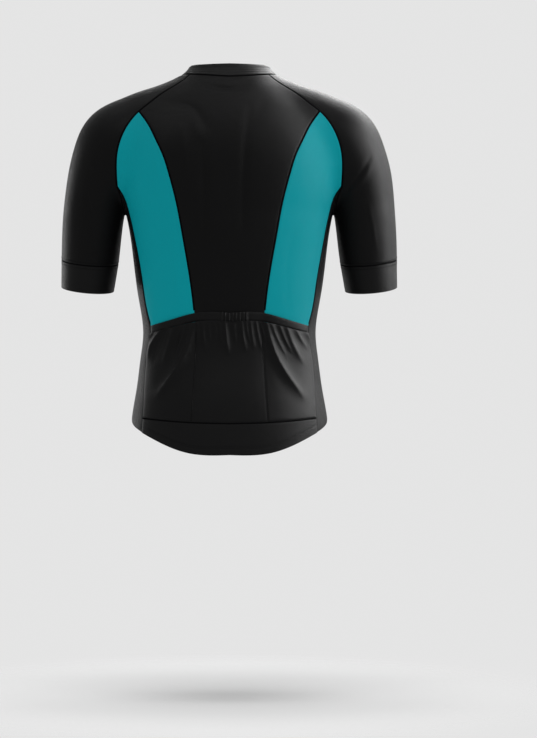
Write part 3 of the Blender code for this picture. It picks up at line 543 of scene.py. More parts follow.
def neck_seam(angles):
    """Points of the collar seam, on the form."""
    angles = np.atleast_1d(angles)
    return settle(neck_oval(angles, NECK_SEAM_OVAL, NECK["seam_height"](np.abs(angles))))


def front_angle(oval):
    """The angle at which an oval round the neck reaches the edge of the zip."""
    return 180 - math.degrees(math.asin(ZIP_HALF_WIDTH / oval["half_width"]))


SEAM_END, TOP_END = front_angle(NECK_SEAM_OVAL), front_angle(NECK_TOP_OVAL)


def neck_top(angles):
    """Points of the collar's upper edge, above the given angles of its seam."""
    angles = np.atleast_1d(angles)
    angles = np.where(np.abs(angles) <= SEAM_END, angles * (TOP_END / SEAM_END), angles)
    return neck_oval(angles, NECK_TOP_OVAL, NECK["top_height"](np.abs(angles)))


def collar_point(angles, rise):
    """Points of the collar's outer face, by angle and by rise from its seam to its top, 0 to 1."""
    seam, top = neck_seam(angles), neck_top(angles)
    inward = -neck_oval(angles, {"half_width": 1, "half_depth": 1, "aft": 0}, 0 * seam[:, 0])
    hollow = COLLAR_HOLLOW * (1 + np.cos(np.radians(angles))) / 2 * math.sin(math.pi * rise)
    return seam + (top - seam) * rise + inward * hollow[:, None]


def draw_armhole():
    """The left sleeve's seam in five runs, each from the top down."""
    back, front = (neck_seam(angle) for angle in (RAGLAN_BACK_ANGLE, RAGLAN_FRONT_ANGLE))
    underarm = settle_in_crease(np.array([UNDERARM], float))
    front_rows = RAGLAN_UPPER_ROWS + RAGLAN_LOWER_ROWS
    runs = (
        ("raglan_upper", RAGLAN_UPPER_ROWS, (back, lift_rows(1, *RAGLAN_BACK_UPPER))),
        ("raglan_lower", RAGLAN_LOWER_ROWS, (lift_rows(1, TIP, *RAGLAN_BACK_LOWER),)),
        ("armhole_back", ARMHOLE_ROWS, (lift_rows(1, BACK_CORNER, ARMHOLE_BACK),)),
        ("armhole_front", ARMHOLE_ROWS, (underarm, lift_rows(-1, ARMHOLE_FRONT))),
        ("raglan_front", front_rows, (lift_rows(-1, FRONT_CORNER, *RAGLAN_FRONT),)),
    )
    curve, distances = curve_through(
        np.concatenate([points for run in runs for points in run[2]] + [front])
    )
    seams = {}
    start = 0
    for name, rows, points in runs:
        end = start + sum(len(part) for part in points)
        seams[name] = settle(curve(np.linspace(distances[start], distances[end], rows + 1)))
        start = end
    for name, rows in (("armhole_back", slice(1, None)), ("armhole_front", slice(0, -1))):
        drawn = seams[name].copy()
        along = np.linspace(0, 1, len(drawn))[:, None]
        share = np.clip((along if name == "armhole_back" else 1 - along) * 3, 0, 1)
        seams[name][rows] = settle(drawn + (settle_in_crease(drawn) - drawn) * share)[rows]
    for name in ("armhole_front", "raglan_front"):
        seams[name] = seams[name][::-1]
    return seams


@functools.cache
def draw_seams():
    """The points of every seam on the left half, each from the top down."""
    seams = draw_armhole()
    heights = np.linspace(BACK_CORNER[1], BAND_TOP[-1][1], SIDE_ROWS + 1)
    seams["side_back"] = lift(SIDE_LINE(heights), heights, 1)
    seams["side_back"][0] = seams["raglan_lower"][-1]
    heights = np.linspace(BAND_TOP[-1][1], HEM_BACK[-1][1], BAND_ROWS + 1)
    seams["band_side"] = lift(SIDE_LINE(heights), heights, 1)
    heights = np.linspace(FRONT_CORNER[1], HEM_FRONT[-1][1], SIDE_ROWS + BAND_ROWS + 1)
    side_front = falling_curve((FRONT_CORNER,) + SIDE_FRONT)
    seams["side_front"] = lift(side_front(heights), heights, -1)
    seams["side_front"][0] = seams["raglan_front"][-1]

    lower = np.linspace(BACK_CORNER[1], BAND_LINE(PRINCESS[-1][0]), SIDE_ROWS + 1)
    heights = np.concatenate([seams["raglan_lower"][:-1, 2], lower])
    princess = falling_curve((TIP,) + PRINCESS)
    seams["princess"] = lift(princess(heights), heights, 1)
    seams["princess"][0] = seams["raglan_lower"][0]

    top = neck_seam(SEAM_END)[0]
    rows = RAGLAN_UPPER_ROWS + RAGLAN_LOWER_ROWS + SIDE_ROWS + BAND_ROWS
    heights = np.linspace(top[2], HEM_FRONT_LINE(ZIP_HALF_WIDTH), rows + 1)
    seams["zip_edge"] = lift(ZIP_HALF_WIDTH, heights, -1)
    seams["zip_edge"][0] = top

    inner, outer = PRINCESS[-1][0], BAND_TOP[-1][0]
    beside = np.linspace(outer, inner, BACK_SIDE_COLUMNS + 1)[:-1]
    out = np.concatenate([beside, np.linspace(inner, -inner, BACK_COLUMNS + 1), -beside[::-1]])
    seams["band_top"] = lift(out, BAND_LINE(out), 1)
    seams["armhole"] = joined(seams["armhole_back"], seams["armhole_front"][::-1])
    return seams


def patch(top, bottom, left, right):
    """A grid of points on the form between four edges that meet at their ends."""
    across = np.linspace(0, 1, len(top))[None, :, None]
    down = np.linspace(0, 1, len(left))[:, None, None]
    upper = (1 - across) * top[0] + across * top[-1]
    lower = (1 - across) * bottom[0] + across * bottom[-1]
    grid = (1 - down) * (top - upper) + down * (bottom - lower)
    grid = grid + (1 - across) * left[:, None] + across * right[:, None]
    grid[1:-1, 1:-1] = settle(grid[1:-1, 1:-1])
    return grid


def stand_back(grid, edges=ALL_EDGES):
    """The grid with the named edges moved back from their seams by half the seam gap."""
    moved = grid.copy()
    places = {"top": (0, 0, 1), "bottom": (0, -1, -2), "left": (1, 0, 1), "right": (1, -1, -2)}
    for name in edges:
        axis, edge, inner = places[name]
        source = grid.swapaxes(0, axis)
        along = unit(np.gradient(source[edge], axis=0))
        inward = source[inner] - source[edge]
        inward = inward - (inward * along).sum(axis=1, keepdims=True) * along
        moved.swapaxes(0, axis)[edge] += unit(inward) * SEAM_GAP / 2
    return moved


def edge_lines(grid):
    """The grid with one more row and column close inside each edge."""
    for _ in range(2):
        first = grid[:1] + EDGE_SHARE * (grid[1:2] - grid[:1])
        last = grid[-1:] + EDGE_SHARE * (grid[-2:-1] - grid[-1:])
        grid = np.concatenate([grid[:1], first, grid[1:-1], last, grid[-1:]])
        grid = grid.swapaxes(0, 1)
    return grid


def seamed(grid, edges=ALL_EDGES):
    """The grid moved back from its seams, with close rows inside its edges."""
    return edge_lines(stand_back(grid, edges))


def edge_shares(count):
    """Even shares from 0 to 1, with one more close inside each end."""
    return edge_lines(np.linspace(0, 1, count + 1)[:, None].repeat(3, 1))[:, 0]


def grid_normals(grid):
    """Unit normals of a grid of points, outward where its columns run to the left of the back."""
    return unit(np.cross(np.gradient(grid, axis=1), np.gradient(grid, axis=0)))


@functools.cache
def crease_paths(rows, side=None):
    """A table's creases as short runs of points, on one side of the form or as seen from behind.

    Each comes with its width and its rise.
    """
    creases = []
    for *corners, width, rise in rows:
        corners = np.reshape(corners, (3, 2)).astype(float)
        if side:
            corners = lift(*corners.T, side)
        curve, distances = curve_through(corners)
        creases.append((curve(np.linspace(0, distances[-1], CREASE_SAMPLES)), width, rise))
    return creases


def crease_rise(points, creases):
    """How far creases push the cloth out at points, most at mid length and least at the ends."""
    rise = np.zeros(len(points))
    for path, width, height in creases:
        nearest = np.full(len(points), np.inf)
        place = np.zeros(len(points))
        for i, (start, end) in enumerate(zip(path[:-1], path[1:])):
            run = end - start
            held = np.clip((points - start) @ run / (run @ run), 0, 1)
            gap = np.linalg.norm(points - start - held[:, None] * run, axis=1)
            closer = gap < nearest
            nearest = np.where(closer, gap, nearest)
            place = np.where(closer, (i + held) / (len(path) - 1), place)
        start, end = CREASE_FADE
        fade = np.sin(np.pi * np.clip(start + (end - start) * place, 0, 1)) ** CREASE_FULLNESS
        soft = np.exp(-((nearest / width) ** 2))
        crest = np.exp(-((nearest / (width * CREST_WIDTH)) ** 2))
        rise += height * fade * ((1 - CREST_SHARE) * soft + CREST_SHARE * crest)
    return rise


def fold_strength():
    """How strongly the cloth's folds stand out."""
    return bpy.context.scene.jersey_sizes.fold_strength


def size(name):
    """A length among the scene's properties, in millimetres."""
    return getattr(bpy.context.scene.jersey_sizes, name) / MM


def relief(grid):
    """How far the body's creases and slow waves push the cloth out at points on the form."""
    points = np.reshape(grid, (-1, 3))
    rise = crease_rise(points, crease_paths(BACK_CREASES, 1) + crease_paths(FRONT_CREASES, -1))
    for *waves, start, height in WAVES:
        rise += height * np.sin(points @ (np.array(waves) * MM * math.tau) + start)
    return fold_strength() * rise.reshape(np.shape(grid)[:-1])


def cloth_places(grid):
    """Distances in metres along the cloth: across it, down it, and to its nearest edge."""
    across, down = distances_along(grid, 1), distances_along(grid)
    edge = np.minimum(across, across[:, -1:] - across)
    edge = np.minimum(edge, np.minimum(down, down[-1:] - down))
    across = across - across[:, across.shape[1] // 2, None]
    return np.stack([across, down, edge], axis=-1) * MM


def flat_size(grid):
    """Width, length and area in metres of the cloth in a grid, laid flat."""
    across, down = (distances_along(grid, axis).max() * MM for axis in (1, 0))
    crossed = np.cross(grid[1:, 1:] - grid[:-1, :-1], grid[1:, :-1] - grid[:-1, 1:])
    area = np.linalg.norm(crossed, axis=2).sum() / 2 * MM**2
    return across, down, min(area, across * down)


def add_mesh(name, vertices, faces, finish, places=None):
    """A closed mesh of points in millimetres that rides on the garment."""
    data = bpy.data.meshes.new(name)
    data.from_pydata((np.asarray(vertices) * MM).tolist(), [], faces)
    mesh = bmesh.new()
    mesh.from_mesh(data)
    bmesh.ops.recalc_face_normals(mesh, faces=mesh.faces)
    mesh.to_mesh(data)
    mesh.free()
    if places is not None:
        attribute = data.attributes.new("cloth", "FLOAT_VECTOR", "POINT")
        attribute.data.foreach_set("vector", np.asarray(places, np.float32).ravel())
    data.shade_smooth()
    data.materials.append(finish_of(finish))
    piece = bpy.data.objects.new(name, data)
    bpy.context.scene.collection.objects.link(piece)
    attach(piece, GARMENT)
    return piece


def add_shells(name, shells, finish):
    """Thin closed shells between pairs of grids of points, each with a rounded lip on its rim.

    A shell is its face, its back and the cloth places of its points.
    """
    vertices, faces, cloth = [], [], []
    start = 0
    for face, back, places in shells:
        rows, columns = face.shape[:2]
        count = rows * columns
        index = np.arange(count).reshape(rows, columns)
        corners = (index[:-1, :-1], index[1:, :-1], index[1:, 1:], index[:-1, 1:])
        quads = np.stack(corners, axis=-1).reshape(-1, 4)
        rim = np.concatenate([index[0, :-1], index[:-1, -1], index[-1, :0:-1], index[:0:-1, 0]])
        inner = np.concatenate([index[1, :-1], index[:-1, -2], index[-2, :0:-1], index[:0:-1, 1]])
        face, back, places = (np.reshape(part, (-1, 3)) for part in (face, back, places))
        lip = (face[rim] + back[rim]) / 2 + unit(face[rim] - face[inner]) * LIP
        middle = 2 * count + np.arange(len(rim))
        after = np.roll(rim, -1), np.roll(middle, -1)
        sides = (
            np.stack([rim, after[0], after[1], middle], axis=1),
            np.stack([middle, after[1], after[0] + count, rim + count], axis=1),
        )
        faces.append(np.concatenate([quads, quads[:, ::-1] + count, *sides]) + start)
        vertices += [face, back, lip]
        cloth += [places, places, places[rim]]
        start += 2 * count + len(rim)
    faces = np.concatenate(faces).tolist()
    return add_mesh(name, np.concatenate(vertices), faces, finish, np.concatenate(cloth))


def rolled_edges(grid, shares):
    """How deep the edges of a cloth roll under towards their seams.

    The shares are those of the usual roll, by edge. An edge that isn't named has a share of 1.
    """
    across, down = distances_along(grid, 1), distances_along(grid)
    distances = (down, down[-1:] - down, across, across[:, -1:] - across)
    roll = np.zeros(across.shape)
    for edge, distance in zip(ALL_EDGES, distances):
        depth = shares.get(edge, 1) * size("seam_roll")
        roll = np.maximum(roll, depth * np.exp(-((distance / size("seam_roll_width")) ** 2)))
    return roll


def lay_cloth(
    name, node, grid, rise, finish, rests_on, slot=None, held="stretched", facing=None,
    depth=WALL, **rolls,
):
    """A piece of cloth that stands for a node: its edges roll under towards their seams."""
    facing = outward(grid) if facing is None else facing
    roll = rolled_edges(grid, rolls)
    face = grid + facing * (rise - roll)[..., None]
    back = grid + facing * (rise - depth + BACK_ROLL_SHARE * roll)[..., None]
    piece = add_shells(name, [(face, back, cloth_places(grid))], finish)
    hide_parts(node)
    width, length, area = flat_size(face)


def lay_pair(name, node, grid, finish, rests_on, extra=0.0, **rolls):
    """A panel on the wearer's left and its twin on their right, each with its own folds."""
    for side, points in (("left", grid), ("right", mirrored(grid))):
        others = [other.replace("*", side) for other in rests_on]
        rise = relief(points) + extra
        lay_cloth(f"{name}_{side}", f"{node}_{side}", points, rise, finish, others, **rolls)


def bead(distance, centre, width, rise):
    """A low ridge, or a groove, across a strip at a distance from its edge."""
    return rise * np.exp(-(((distance - centre) / width) ** 2))


def spaced(points, step):
    """A path's points at even distances, about a step apart."""
    distances = distances_along(points)
    places = np.linspace(0, distances[-1], max(2, round(distances[-1] / step) + 1))
    return np.stack([np.interp(places, distances, column) for column in points.T], axis=1)


def twins(lines, step):
    """Lines as evenly spaced points, each followed by its twin on the wearer's other side."""
    even = [spaced(line, step) for line in lines]
    return [points for line in even for points in (line, mirrored(line))]


def path_frames(points, facing):
    """Unit vectors along a path, across it and out of the cloth, at each of its points."""
    along = unit(np.gradient(points, axis=0))
    across = unit(np.cross(facing, along))
    return along, across, unit(np.cross(along, across))


def on_cloth(points, height, folded=True):
    """Points on the form raised to a height over its folded or plain cloth, and their normals."""
    facing = outward(points)
    rise = height + (relief(points) if folded else np.zeros(len(points)))
    return points + facing * rise[:, None], facing


def add_ribbons(name, paths, profile, width, rise, pitch=None):
    """A band of thread along each path, of one closed profile (across, up).

    With a pitch, the band swells and narrows as the loops of a covered seam do.
    """
    profile = np.array(profile)
    vertices, faces = [], []
    start = 0
    for points, facing in paths:
        _, across, out = path_frames(points, facing)
        swell = np.ones(len(points))
        if pitch:
            distances = np.arange(len(points)) * np.linalg.norm(points[1] - points[0])
            swell = 1 - LOOP_SWELL * (1 - np.abs(np.sin(np.pi * distances / pitch)))
        sideways = across[:, None] * profile[None, :, :1] * width
        upward = out[:, None] * profile[None, :, 1:] * rise * swell[:, None, None]
        rings = points[:, None] + sideways + upward
        index = start + np.arange(rings.shape[0] * len(profile)).reshape(rings.shape[:2])
        over = np.roll(index, -1, axis=1)
        quads = np.stack([index[:-1], over[:-1], over[1:], index[1:]], axis=-1).reshape(-1, 4)
        faces += quads.tolist() + [index[0].tolist(), index[-1][::-1].tolist()]
        vertices.append(rings.reshape(-1, 3))
        start += index.size
    add_mesh(name, np.concatenate(vertices), faces, "thread")


def ring_sides(rings, count):
    """The faces of a form made of rings of points, closed at its first and its last ring."""
    last = (rings - 1) * count
    faces = [tuple(range(count))[::-1], tuple(range(last, last + count))]
    for near in range(0, last, count):
        for i in range(count):
            j = (i + 1) % count
            faces.append((near + i, near + j, near + count + j, near + count + i))
    return faces


def add_copies(name, copies, sides, finish):
    """Copies of one small form as one mesh."""
    faces = []
    for i, form in enumerate(copies):
        faces += [[i * len(form) + corner for corner in side] for side in sides]
    add_mesh(name, np.concatenate(copies), faces, finish)


def add_stitches(name, paths):
    """Rows of single stitches along paths of points. Their ends dip into the cloth."""
    length, thickness = size("stitch_length"), size("stitch_thickness")
    form = []
    for along, width, up in STITCH_STATIONS:
        for turn in np.linspace(0, math.tau, STITCH_SIDES, endpoint=False):
            across = math.cos(turn) * thickness / 2 * width
            form.append((along * length, across, (math.sin(turn) * width / 2 + up) * thickness))
    stitches = []
    for points, facing in paths:
        axes = np.stack(path_frames(points, facing), axis=1)
        stitches += list(points[:, None] + np.einsum("pk,nkx->npx", np.array(form), axes))
    add_copies(name, stitches, ring_sides(len(STITCH_STATIONS), STITCH_SIDES), "thread")


def fill_inputs(tree, node, inputs):
    """Set a node's inputs, by name or place, to values or link them to sockets."""
    for name, value in inputs.items():
        if isinstance(value, bpy.types.NodeSocket):
            tree.links.new(value, node.inputs[name])
        else:
            node.inputs[name].default_value = value
    return node


def add_node(tree, kind, inputs, **settings):
    """A new shader node with its settings and its inputs."""
    node = tree.nodes.new("ShaderNode" + kind)
    for name, value in settings.items():
        setattr(node, name, value)
    return fill_inputs(tree, node, inputs)


def math_node(tree, operation, *values):
    """The output of a Math node whose inputs are numbers or sockets."""
    return add_node(tree, "Math", dict(enumerate(values)), operation=operation).outputs[0]


def noise(tree, place, detail, scale):
    """The output of a Noise node."""
    inputs = {"Vector": place, "Detail": detail, "Scale": scale}
    return add_node(tree, "TexNoise", inputs).outputs[0]


def bumps(tree, height, strength, distance):
    """The normals of a Bump node."""
    inputs = {"Height": height, "Strength": strength, "Distance": distance}
    return add_node(tree, "Bump", inputs).outputs[0]


def blend_colours(tree, share, first, second):
    """The output of a node that mixes two colours by a share."""
    inputs = {0: share, 6: (*first, 1), 7: (*second, 1)}
    return add_node(tree, "Mix", inputs, data_type="RGBA").outputs[2]


def new_group(name, inputs, outputs):
    """A shader group with a place and other inputs, its tree, its given sockets and its output."""
    tree = bpy.data.node_groups.new(name, "ShaderNodeTree")
    tree.interface.new_socket(name="Place", in_out="INPUT", socket_type="NodeSocketVector")
    for key, value in inputs.items():
        socket = tree.interface.new_socket(name=key, in_out="INPUT", socket_type="NodeSocketFloat")
        socket.default_value = value
    for key in outputs:
        tree.interface.new_socket(name=key, in_out="OUTPUT", socket_type="NodeSocketFloat")
    return tree, tree.nodes.new("NodeGroupInput").outputs, tree.nodes.new("NodeGroupOutput")


@functools.cache
def knit_group():
    """Knitted loops: columns of slanting loops, as a height and as painted shade in the hollows
    between them.
    """
    inputs = {"Loop Width": 0.0009, "Loop Height": 0.0007, "Slant": 0.5}
    tree, given, out = new_group("knit_loops", inputs, ("Height", "Hollow"))
    do = functools.partial(math_node, tree)
    split = add_node(tree, "SeparateXYZ", {0: given["Place"]}).outputs
    column = do("DIVIDE", split["X"], given["Loop Width"])
    row = do("DIVIDE", split["Y"], given["Loop Height"])
    beside = do("MULTIPLY", do("PINGPONG", column, 0.5), 2.0)
    course = do("PINGPONG", do("ADD", row, do("MULTIPLY", beside, given["Slant"])), 0.5)
    course = do("SINE", do("MULTIPLY", course, math.tau))
    crown = do("SINE", do("MULTIPLY", beside, math.pi / 2))
    height = do("MULTIPLY_ADD", course, COURSE_SHARE, crown)
    fill_inputs(tree, out, {"Height": height, "Hollow": do("SUBTRACT", 1.0, crown)})
    return tree


@functools.cache
def grain_group():
    """A fine speckled grain, as on spun thread and on plated metal."""
    inputs = {"Grain Size": 0.0006, "Scuff Size": 0.004}
    tree, given, out = new_group("fine_grain", inputs, ("Grain", "Scuffs"))
    for name, pattern in zip(inputs, ("Grain", "Scuffs")):
        scale = math_node(tree, "DIVIDE", 1.0, given[name])
        fill_inputs(tree, out, {pattern: noise(tree, given["Place"], 4.0, scale)})
    return tree


@functools.cache
def wear_group():
    """Uneven handling of cloth: slow patches, and a paler line where an edge has rubbed."""
    inputs = {"Patch Size": 0.06, "Edge Reach": 0.003}
    tree, given, out = new_group("cloth_wear", inputs, ("Patches", "Fuzz", "Rubbed"))
    do = functools.partial(math_node, tree)
    slow = noise(tree, given["Place"], 3.0, do("DIVIDE", 1.0, given["Patch Size"]))
    fuzz = noise(tree, given["Place"], 2.0, FUZZ_SCALE)
    split = add_node(tree, "SeparateXYZ", {0: given["Place"]}).outputs
    near = do("DIVIDE", split["Z"], given["Edge Reach"])
    rubbed = do("MULTIPLY", do("SUBTRACT", 1.0, do("MINIMUM", near, 1.0)), slow)
    fill_inputs(tree, out, {"Patches": slow, "Fuzz": fuzz, "Rubbed": rubbed})
    return tree


def new_material(name):
    """A material with a Principled shader, and its tree and shader."""
    material = bpy.data.materials.new(name)
    material.use_nodes = True
    return material, material.node_tree, material.node_tree.nodes["Principled BSDF"]


@functools.cache
def cloth_finish(name, colour, pale, wide, high, slant, depth, roughness, gloss, sheen):
    """Knitted cloth: loops in the bump with painted shade between them, slow patches in colour and
    roughness, a soft sheen.
    """
    material, tree, surface = new_material(name)
    do = functools.partial(math_node, tree)
    place = add_node(tree, "Attribute", {}, attribute_name="cloth").outputs["Vector"]
    loops = {"Place": place, "Loop Width": wide, "Loop Height": high, "Slant": slant}
    knit = add_node(tree, "Group", loops, node_tree=knit_group()).outputs
    wear = add_node(tree, "Group", {"Place": place}, node_tree=wear_group()).outputs
    share = do("MULTIPLY_ADD", wear["Patches"], PATCH_SHARE, wear["Rubbed"])
    # Painted shade: the colour darkens in the hollows between the loops.
    share = do("SUBTRACT", share, do("MULTIPLY", knit["Hollow"], PAINTED_SHADE_SHARE))
    height = do("MULTIPLY_ADD", wear["Fuzz"], FUZZ_SHARE, knit["Height"])
    smoothest = roughness - PATCH_ROUGHNESS / 2
    fill_inputs(tree, surface, {
        "Base Color": blend_colours(tree, do("MAXIMUM", share, 0.0), colour, pale),
        "Roughness": do("MULTIPLY_ADD", wear["Patches"], PATCH_ROUGHNESS, smoothest),
        "Normal": bumps(tree, height, CLOTH_BUMP, depth),
        "Specular IOR Level": gloss,
        "Sheen Weight": sheen,
        "Sheen Roughness": SHEEN_ROUGHNESS,
    })
    return material


@functools.cache
def hard_finish(name, colour, pale, roughness, metallic, gloss):
    """Thread, or moulded and plated zip parts: a fine grain, and paler scuffs."""
    material, tree, surface = new_material(name)
    place = add_node(tree, "TexCoord", {}).outputs["Object"]
    grain = add_node(tree, "Group", {"Place": place}, node_tree=grain_group()).outputs
    rough = (grain["Scuffs"], SCUFF_ROUGHNESS, roughness - SCUFF_ROUGHNESS / 2)
    fill_inputs(tree, surface, {
        "Base Color": blend_colours(tree, grain["Scuffs"], colour, pale),
        "Roughness": math_node(tree, "MULTIPLY_ADD", *rough),
        "Normal": bumps(tree, grain["Grain"], *HARD_BUMP),
        "Metallic": metallic,
        "Specular IOR Level": gloss,
    })
    return material


def finish_of(name):
    """The material of a named finish, with the colours of the scene's properties."""
    sizes, colours = bpy.context.scene.jersey_sizes, bpy.context.scene.jersey_colours
    look = CLOTH_LOOKS[name] if name in CLOTH_LOOKS else (name, *HARD_LOOKS[name])
    key, factor, *look = look
    colour = tuple(round(channel, 5) for channel in getattr(colours, key))
    pale = tuple(min(1.0, channel * factor) for channel in colour)
    if name in HARD_LOOKS:
        return hard_finish(name, colour, pale, *look)
    share, *look = look
    loops = (sizes.loop_width * share, sizes.loop_height) if share else ZIP_WEAVE
    return cloth_finish(name, colour, pale, *loops, *look)


def length(name, description, default, precision=5):
    """A property that holds a length in metres."""
    return FloatProperty(
        name=name, description=description, default=default, unit="LENGTH", precision=precision
    )


def power(name, description, default):
    """A property that holds the power of a light in watts."""
    return FloatProperty(name=name, description=description, default=default, unit="POWER")


def tint(name, description, default):
    """A property that holds a colour."""
    return FloatVectorProperty(
        name=name, description=description, default=default, subtype="COLOR", min=0.0, max=1.0
    )


class JerseySizes(bpy.types.PropertyGroup):
    """Sizes of the cloth and its sewing."""

    fold_strength: FloatProperty(
        name="Fold Strength", description="How strongly the cloth's folds stand out", default=1.0
    )
    seam_roll: length("Seam Roll", "How deep a panel's edge rolls under at its seam", 0.0006)
    seam_roll_width: length(
        "Seam Roll Width", "How far from its seam a panel starts to roll under", 0.0019
    )
    seam_width: length("Seam Width", "Width of the covered seams between the panels", 0.0036)
    seam_rise: length("Seam Rise", "How far a covered seam stands over the cloth", 0.00045)
    seam_pitch: length("Seam Pitch", "Length of one thread loop along a covered seam", 0.0022)
    stitch_length: length("Stitch Length", "Length of one top stitch", 0.0024)
    stitch_spacing: length(
        "Stitch Spacing", "Distance from one top stitch to the next", 0.0031
    )
    stitch_thickness: length("Stitch Thickness", "Thickness of the top stitching thread", 0.0005)
    loop_width: length("Loop Width", "Width of one knitted loop", 0.0009)
    loop_height: length("Loop Height", "Height of one knitted loop", 0.0007)
    tooth_pitch: length(
        "Tooth Pitch", "Distance between neighbouring teeth on one side of the zip", 0.0026
    )


class JerseyColours(bpy.types.PropertyGroup):
    """Colours of the cloth, the thread and the zip."""

    black_knit: tint(
        "Black Knit", "Colour of the black panels and sleeves", (0.0024, 0.0024, 0.0026)
    )
    black_band: tint(
        "Black Band", "Colour of the collar, cuffs, elastic and hem band", (0.0032, 0.0032, 0.0034)
    )
    teal_knit: tint(
        "Teal Knit", "Colour of the panels beside the middle of the back", (0.002, 0.375, 0.435)
    )
    thread: tint("Thread", "Colour of the sewing thread", (0.0016, 0.0016, 0.0018))
    zip_metal: tint("Zip Metal", "Colour of the zip's slider, tab and teeth", (0.05, 0.05, 0.053))


class JerseyStage(bpy.types.PropertyGroup):
    """Camera, floor and light round the jersey."""

    camera_distance: length("Camera Distance", "Distance from the camera to the jersey", 6.0, 2)
    camera_height: length("Camera Height", "Height of the camera over the collar seam", -0.371, 2)
    floor_height: length("Floor Height", "Height of the floor over the collar seam", -1.132, 2)
    background: tint("Background", "Colour of the space round the jersey", (0.78, 0.78, 0.78))
    space_light: FloatProperty(
        name="Space Light", description="Strength of the soft light from all round",
        default=0.7, min=0.0,
    )
    right_light: power(
        "Right Light", "Power of the light that the cloth reflects at the right", 76.0
    )
    left_light: power("Left Light", "Power of the light that the cloth reflects at the left", 5.0)
    rear_light: power(
        "Rear Light", "Power of the light behind the jersey, that rims its edges", 60.0
    )
    upper_light: power("Upper Light", "Power of the light that the upper back reflects", 13.0)
    fill_light: power(
        "Fill Light", "Power of the light that brightens the right of the jersey", 14.0
    )
    top_light: power("Top Light", "Power of the light over the floor", 150.0)
    floor_colour: tint("Floor Colour", "Colour of the paper floor", (0.62, 0.62, 0.62))


class JERSEY_OT_back_panels(bpy.types.Operator):
    """Lay the middle of the back and the teal panels beside it"""

    bl_idname = "jersey.back_panels"
    bl_label = "Back Panels"

    def execute(self, context):
        seams = draw_seams()
        angles = np.linspace(RAGLAN_BACK_ANGLE, -RAGLAN_BACK_ANGLE, BACK_COLUMNS + 1)
        edge = joined(seams["raglan_upper"], seams["princess"])
        foot = seams["band_top"][BACK_SIDE_COLUMNS : BACK_SIDE_COLUMNS + BACK_COLUMNS + 1]
        middle = seamed(patch(neck_seam(angles), foot, edge, mirrored(edge)))
        lay_cloth(
            "back_middle", "back_centre", middle, relief(middle), "black_knit",
            ["collar_band", "sleeve_cloth_left", "sleeve_cloth_right"],
        )
        outer = joined(seams["raglan_lower"], seams["side_back"])
        inner = seams["princess"].copy()
        for edge in (outer, inner):
            edge[0] += (edge[1] - edge[0]) * TEAL_HEAD_SHARE
        share = np.linspace(0, 1, BACK_SIDE_COLUMNS + 1)[:, None]
        head = outer[0] + share * (inner[0] - outer[0])
        beside = seamed(patch(head, seams["band_top"][: BACK_SIDE_COLUMNS + 1], outer, inner))
        ridge = bead(cloth_places(beside)[..., 2] / MM, *TEAL_RIDGE)
        others = ["back_middle", "sleeve_cloth_*"]
        lay_pair("back_teal", "back_side", beside, "teal_knit", others, ridge)
        return {"FINISHED"}


class JERSEY_OT_side_panels(bpy.types.Operator):
    """Lay the narrow panels under the arms"""

    bl_idname = "jersey.side_panels"
    bl_label = "Side Panels"

    def execute(self, context):
        seams = draw_seams()
        back, front = joined(seams["side_back"], seams["band_side"]), seams["side_front"]
        curve, distances = curve_through([back[-1], settle(HEM_SIDE), front[-1]])
        foot = settle(curve(np.linspace(0, distances[-1], SIDE_COLUMNS + 1)))
        foot[0], foot[-1] = back[-1], front[-1]
        grid = seamed(patch(seams["armhole"], foot, back, front))
        others = ["back_teal_*", "front_cloth_*", "sleeve_cloth_*"]
        lay_pair("side_cloth", "side", grid, "black_knit", others)
        return {"FINISHED"}


class JERSEY_OT_front_panels(bpy.types.Operator):
    """Lay the two fronts beside the zip"""

    bl_idname = "jersey.front_panels"
    bl_label = "Front Panels"

    def execute(self, context):
        seams = draw_seams()
        angles = np.linspace(RAGLAN_FRONT_ANGLE, SEAM_END, FRONT_COLUMNS + 1)
        side = joined(seams["raglan_front"], seams["side_front"])
        out = np.linspace(HEM_FRONT[-1][0], ZIP_HALF_WIDTH, FRONT_COLUMNS + 1)
        foot = lift(out, HEM_FRONT_LINE(out), -1)
        grid = seamed(patch(neck_seam(angles), foot, side, seams["zip_edge"]))
        others = ["collar_band", "sleeve_cloth_*", "side_cloth_*"]
        lay_pair("front_cloth", "front", grid, "black_knit", others)
        return {"FINISHED"}


def arm_place(height):
    """The distance along the arm at which its middle has a height."""
    return np.interp(-height, -ARM_BEADS[:, 2], ARM_PLACES)


def arm_frame(place):
    """The middle of the arm at a place, and its axes: along it, over it and aft."""
    along = unit(ARM(place + 1)[:3] - ARM(place - 1)[:3])
    over = unit(np.cross(along, (0, 1, 0)))
    return ARM(place)[:3], along, over, np.cross(over, along)


def arm_bearing(place, point, side):
    """The turn about the arm from its upper side to a point, and how steeply it leads along.

    The turn is positive towards the back, side 1, and negative towards the front, side -1.
    """
    centre, along, over, aft = arm_frame(place)
    offset = point - centre
    turn = math.atan2(offset @ aft, offset @ over)
    turn = turn % math.tau if side > 0 else -(-turn % math.tau)
    return turn, offset @ along / math.hypot(offset @ aft, offset @ over)


def arm_ring(place, back, front):
    """Points round the arm from its back seam, over its upper side, to its front seam."""
    centre, along, over, aft = arm_frame(place)
    turns = np.linspace(back[0], front[0], SLEEVE_COLUMNS + 1)
    seam = np.where((turns > 0)[:, None], back, front)
    lead = seam[:, 1] * (turns / seam[:, 0]) ** 2
    directions = np.outer(np.cos(turns), over) + np.outer(np.sin(turns), aft)
    directions = unit(directions + np.outer(lead, along))
    return cast(np.tile(centre, (len(turns), 1)), directions, ARM_REACH)


